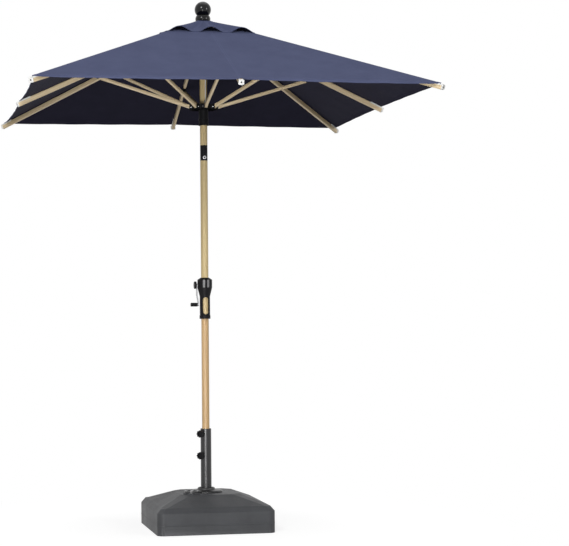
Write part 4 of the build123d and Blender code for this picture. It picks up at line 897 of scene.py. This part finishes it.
def rivets(name, body, centre, across, half):
    """Two domed rivet heads on the ends of a hinge pin of that half length."""
    points, faces = [], []
    rings, sides = RIVET_RINGS, RIVET_SIDES
    for sign in (-1, 1):
        first = len(points)
        axis = across.normalized() * sign
        right = axis.orthogonal().normalized()
        up = axis.cross(right)
        for ring in range(rings):
            lift = ring / rings * pi / 2
            for side in range(sides):
                turn = 2 * pi * side / sides
                rim = RIVET_R * cos(lift) * (cos(turn) * right + sin(turn) * up)
                points.append(centre + axis * (half + RIVET_RISE * sin(lift)) + rim)
        points.append(centre + axis * (half + RIVET_RISE))
        faces += ring_faces(rings, sides, first)
        top = first + (rings - 1) * sides
        for side in range(sides):
            faces.append((top + side, top + (side + 1) % sides, first + rings * sides))
        faces.append(tuple(first + side for side in range(sides))[::-1])
    made = mesh_object(name, points, faces, "chrome")
    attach(made, body)


CORD_AT = Vector((CORD_OUT_R * cos(CORD_AZIMUTH), CORD_OUT_R * sin(CORD_AZIMUTH), 0))


def lift_cord():
    """The taut cord from the hub to the runner."""
    low, high = RUNNER_TOP_Z - CORD_END, HUB_Z
    path = []
    for step in range(CORD_STEPS + 1):
        path.append(CORD_AT + Vector((0, 0, high + (low - high) * step / CORD_STEPS)))
    made = tube_mesh("lift_cord", path, CORD_R, CORD_SIDES, "cord")
    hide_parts("lift_cord_upper")
    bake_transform(made)


def cord_knot():
    """The knot that holds the cord on the runner: a trefoil."""
    path = []
    for step in range(KNOT_STEPS + 1):
        angle = 2 * pi * step / KNOT_STEPS
        wide = KNOT_R * (KNOT_CORE + (1 - KNOT_CORE) * cos(KNOT_LOOPS * angle))
        x, y = wide * cos(KNOT_TURNS * angle), wide * sin(KNOT_TURNS * angle)
        z = RUNNER_TOP_Z + KNOT_RISE + KNOT_R * KNOT_HEIGHT * sin(KNOT_LOOPS * angle)
        path.append(CORD_AT + Vector((x, y, z)))
    made = tube_mesh("lift_cord_knot", path, CORD_R, KNOT_SIDES, "cord")
    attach(made, "runner")


def button_spring():
    """Coil spring behind the tilt button, which rides on the lower mast."""
    low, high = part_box("tilt_spring")
    middle = (low + high) / 2
    coil_r = (high.x - low.x) / 2 - SPRING_WIRE_R
    reach = high.y - low.y - 2 * SPRING_WIRE_R
    count = SPRING_TURN_STEPS * SPRING_TURNS
    path = []
    for step in range(count + 1):
        turn = 2 * pi * SPRING_TURNS * step / count
        y = low.y + SPRING_WIRE_R + reach * step / count
        path.append(Vector((middle.x + coil_r * cos(turn), y, middle.z + coil_r * sin(turn))))
    made = tube_mesh("tilt_button_spring", path, SPRING_WIRE_R, SPRING_SIDES, "steel")
    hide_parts("tilt_spring")
    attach(made, "lower_mast")
    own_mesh(made)


# The rest of the CAD pieces


PLAIN = {
    "base_tank": "base",
    "fill_cap": "cap",
    "stem_collar": "powder",
    "stem_tube": "powder",
    "upper_clamp_knob": "black",
    "lower_clamp_knob": "black",
    "lower_pole": "lower_pole",
    "middle_pole": "pole",
    "upper_pole": "pole",
    "crank_housing_back": "black",
    "housing_screws": "steel",
    "crank_shaft": "steel",
    "crank_grip": "black",
    "tilt_socket": "black",
    "tilt_head": "black",
    "tilt_pin": "steel",
    "tilt_spring": "steel",
    "top_hub": "black",
    "rib_pivot_ring": "steel",
    "cord_pulley": "steel",
    "lift_cord_lower": "cord",
    "finial": "gloss",
    "lift_cord_upper": "cord",
    "vent_flap": "cloth",
}


def dress_plain():
    """Finishes of the nodes that have one material."""
    for node, material in PLAIN.items():
        dress(node, material)
    for rib in RIBS:
        for side in SIDES:
            dress(f"canopy_{rib}_{side}", "cloth")


def dress_tilt_button():
    """Bright button with a dark dish."""
    low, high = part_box("tilt_button")
    button = (low + high) / 2
    dish_r = (high.x - low.x) / 4 + SKIN

    def in_dish(centre, normal):
        return int(hypot(centre.x - button.x, centre.z - button.z) < dish_r)

    dress("tilt_button", "chrome", "black")
    paint("tilt_button", in_dish)


def dress_crank():
    """Housing with raised bars coloured pale grey as a painted highlight, and bright arm with a black
    cap.
    """
    bell_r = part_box("crank_housing_front")[1].x + BAR_RISE
    cap_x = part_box("crank_arm")[1].x - CRANK_LEAN - CRANK_BAR - SKIN

    def on_bar(centre, normal):
        return int(hypot(centre.x, centre.y) > bell_r)

    def on_cap(centre, normal):
        return int(centre.x < cap_x and hypot(centre.y, centre.z - CRANK_Z) < CRANK_CAP_R)

    # The bars' faces get the pale grey of the painted highlight.
    dress("crank_housing_front", "black", "grey")
    paint("crank_housing_front", on_bar)
    dress("crank_arm", "arm", "black")
    paint("crank_arm", on_cap)


def dress_runner():
    """Black runner, matte below."""
    dress("runner", "black", "matte")
    paint("runner", lambda centre, normal: int(normal.z < FACING_DOWN))


# Studio

FLOOR_HALF = 30.0
FLOOR_SEEN = grey(0.93)
FLOOR_BOUNCE = grey(0.16)
FLOOR_GLOW = 0.6  # share of white glow in the floor near the base, 1 further out
FLOOR_LEVEL = 1.33  # strength of that glow near the base, 1 further out
FLOOR_NEAR = 0.5  # from the pole, where the floor starts to turn white
FLOOR_FAR = 1.6  # and where it is white
WORLD_LIGHT = 0.25  # level of the white surroundings as a light
# Each lamp: place, aim, size, power
LIGHTS = {
    "key": ((-3.2, -5.2, 5.4), (0, 0, 1.6), 1.9, 166.0),
    "fill": ((4.6, -4.6, 3.6), (0, 0, 1.6), 1.7, 80.0),
    "top": ((0.4, 0.6, 6.5), (0, 0, 2.4), 4.0, 40.0),
    "low_front": ((-1.8, -7.5, 1.0), (0, 0, 1.4), 2.4, 70.0),
    "under": ((-1.2, -3.4, 0.15), (0, 0, 2.2), 1.4, 130.0),
}


def seen_share(tree):
    """1 for camera, glossy and transmission rays."""
    rays = add_node(tree, "ShaderNodeLightPath")
    some = math_node(tree, "MAXIMUM", rays.outputs["Is Camera Ray"], rays.outputs["Is Glossy Ray"])
    return math_node(tree, "MAXIMUM", some, rays.outputs["Is Transmission Ray"])


def lay_floor():
    """Pale floor that takes the object's shadow."""
    mesh = bpy.data.meshes.new("studio_floor")
    half = FLOOR_HALF
    corners = [(-half, -half, 0), (half, -half, 0), (half, half, 0), (-half, half, 0)]
    mesh.from_pydata(corners, [], [(0, 1, 2, 3)])
    floor = bpy.data.objects.new("studio_floor", mesh)
    bpy.context.scene.collection.objects.link(floor)
    made, tree, bsdf = shader("studio_floor", FLOOR_SEEN, roughness=0.9, Specular_IOR_Level=0.0)
    seen = seen_share(tree)
    color = blend_colors(tree, seen, FLOOR_BOUNCE, FLOOR_SEEN)
    tree.links.new(color, bsdf.inputs["Base Color"])
    # The floor keeps a soft shadow near the base and turns into the white surroundings further out.
    coords = add_node(tree, "ShaderNodeTexCoord")
    away = add_node(tree, "ShaderNodeVectorMath", operation="LENGTH")
    fade = add_node(tree, "ShaderNodeMapRange", interpolation_type="SMOOTHSTEP")
    glow = add_node(tree, "ShaderNodeEmission")
    mixed = add_node(tree, "ShaderNodeMixShader")
    fade.inputs["From Min"].default_value = FLOOR_NEAR
    fade.inputs["From Max"].default_value = FLOOR_FAR
    tree.links.new(coords.outputs["Object"], away.inputs[0])
    tree.links.new(away.outputs["Value"], fade.inputs["Value"])
    faded = fade.outputs["Result"]
    share = math_node(tree, "ADD", math_node(tree, "MULTIPLY", faded, 1 - FLOOR_GLOW), FLOOR_GLOW)
    level = math_node(tree, "ADD", math_node(tree, "MULTIPLY", faded, 1 - FLOOR_LEVEL), FLOOR_LEVEL)
    tree.links.new(math_node(tree, "MULTIPLY", share, seen), mixed.inputs[0])
    tree.links.new(level, glow.inputs["Strength"])
    tree.links.new(bsdf.outputs["BSDF"], mixed.inputs[1])
    tree.links.new(glow.outputs["Emission"], mixed.inputs[2])
    tree.links.new(mixed.outputs["Shader"], tree.nodes["Material Output"].inputs["Surface"])
    mesh.materials.append(made)


def surround():
    """White surroundings, which light the object only a little."""
    world = bpy.data.worlds.new("studio_world")
    world.use_nodes = True
    bpy.context.scene.world = world
    tree = world.node_tree
    background = tree.nodes["Background"]
    share = seen_share(tree)
    color = blend_colors(tree, share, grey(WORLD_LIGHT), grey(1.0))
    tree.links.new(color, background.inputs["Color"])


def hang_lamps():
    """Soft lamps, which the camera doesn't see."""
    for name, (spot, aim, size, power) in LIGHTS.items():
        data = bpy.data.lights.new(name, "AREA")
        data.size = size
        data.energy = power
        lamp = bpy.data.objects.new(name, data)
        lamp.location = spot
        lamp.rotation_euler = (Vector(aim) - Vector(spot)).to_track_quat("-Z", "Y").to_euler()
        lamp.visible_camera = False
        bpy.context.scene.collection.objects.link(lamp)


def camera():
    """The photograph's camera."""
    data = bpy.data.cameras.new("camera")
    data.lens = CAMERA_LENS
    data.shift_x = CAMERA_SHIFT_X
    data.clip_end = CAMERA_REACH
    made = bpy.data.objects.new("camera", data)
    bpy.context.scene.collection.objects.link(made)
    aim = CAMERA_HEADING.normalized() * cos(CAMERA_PITCH) + Vector((0, 0, sin(CAMERA_PITCH)))
    turn = aim.to_track_quat("-Z", "Y").to_matrix() @ Matrix.Rotation(CAMERA_ROLL, 3, "Z")
    made.location = CAMERA_AT
    made.rotation_euler = turn.to_euler()
    bpy.context.scene.camera = made


def main():
    bpy.context.scene.view_settings.view_transform = "Standard"
    camera()
    lay_floor()
    surround()
    hang_lamps()
    dress_plain()
    dress_tilt_button()
    dress_crank()
    dress_runner()
    for rib in RIBS:
        dress_rib(rib)
    for rib in RIBS:
        for side in SIDES:
            half_panel(rib, side)
            vent_half(rib, side)
    vent_crown()
    lift_cord()
    cord_knot()
    button_spring()


main()
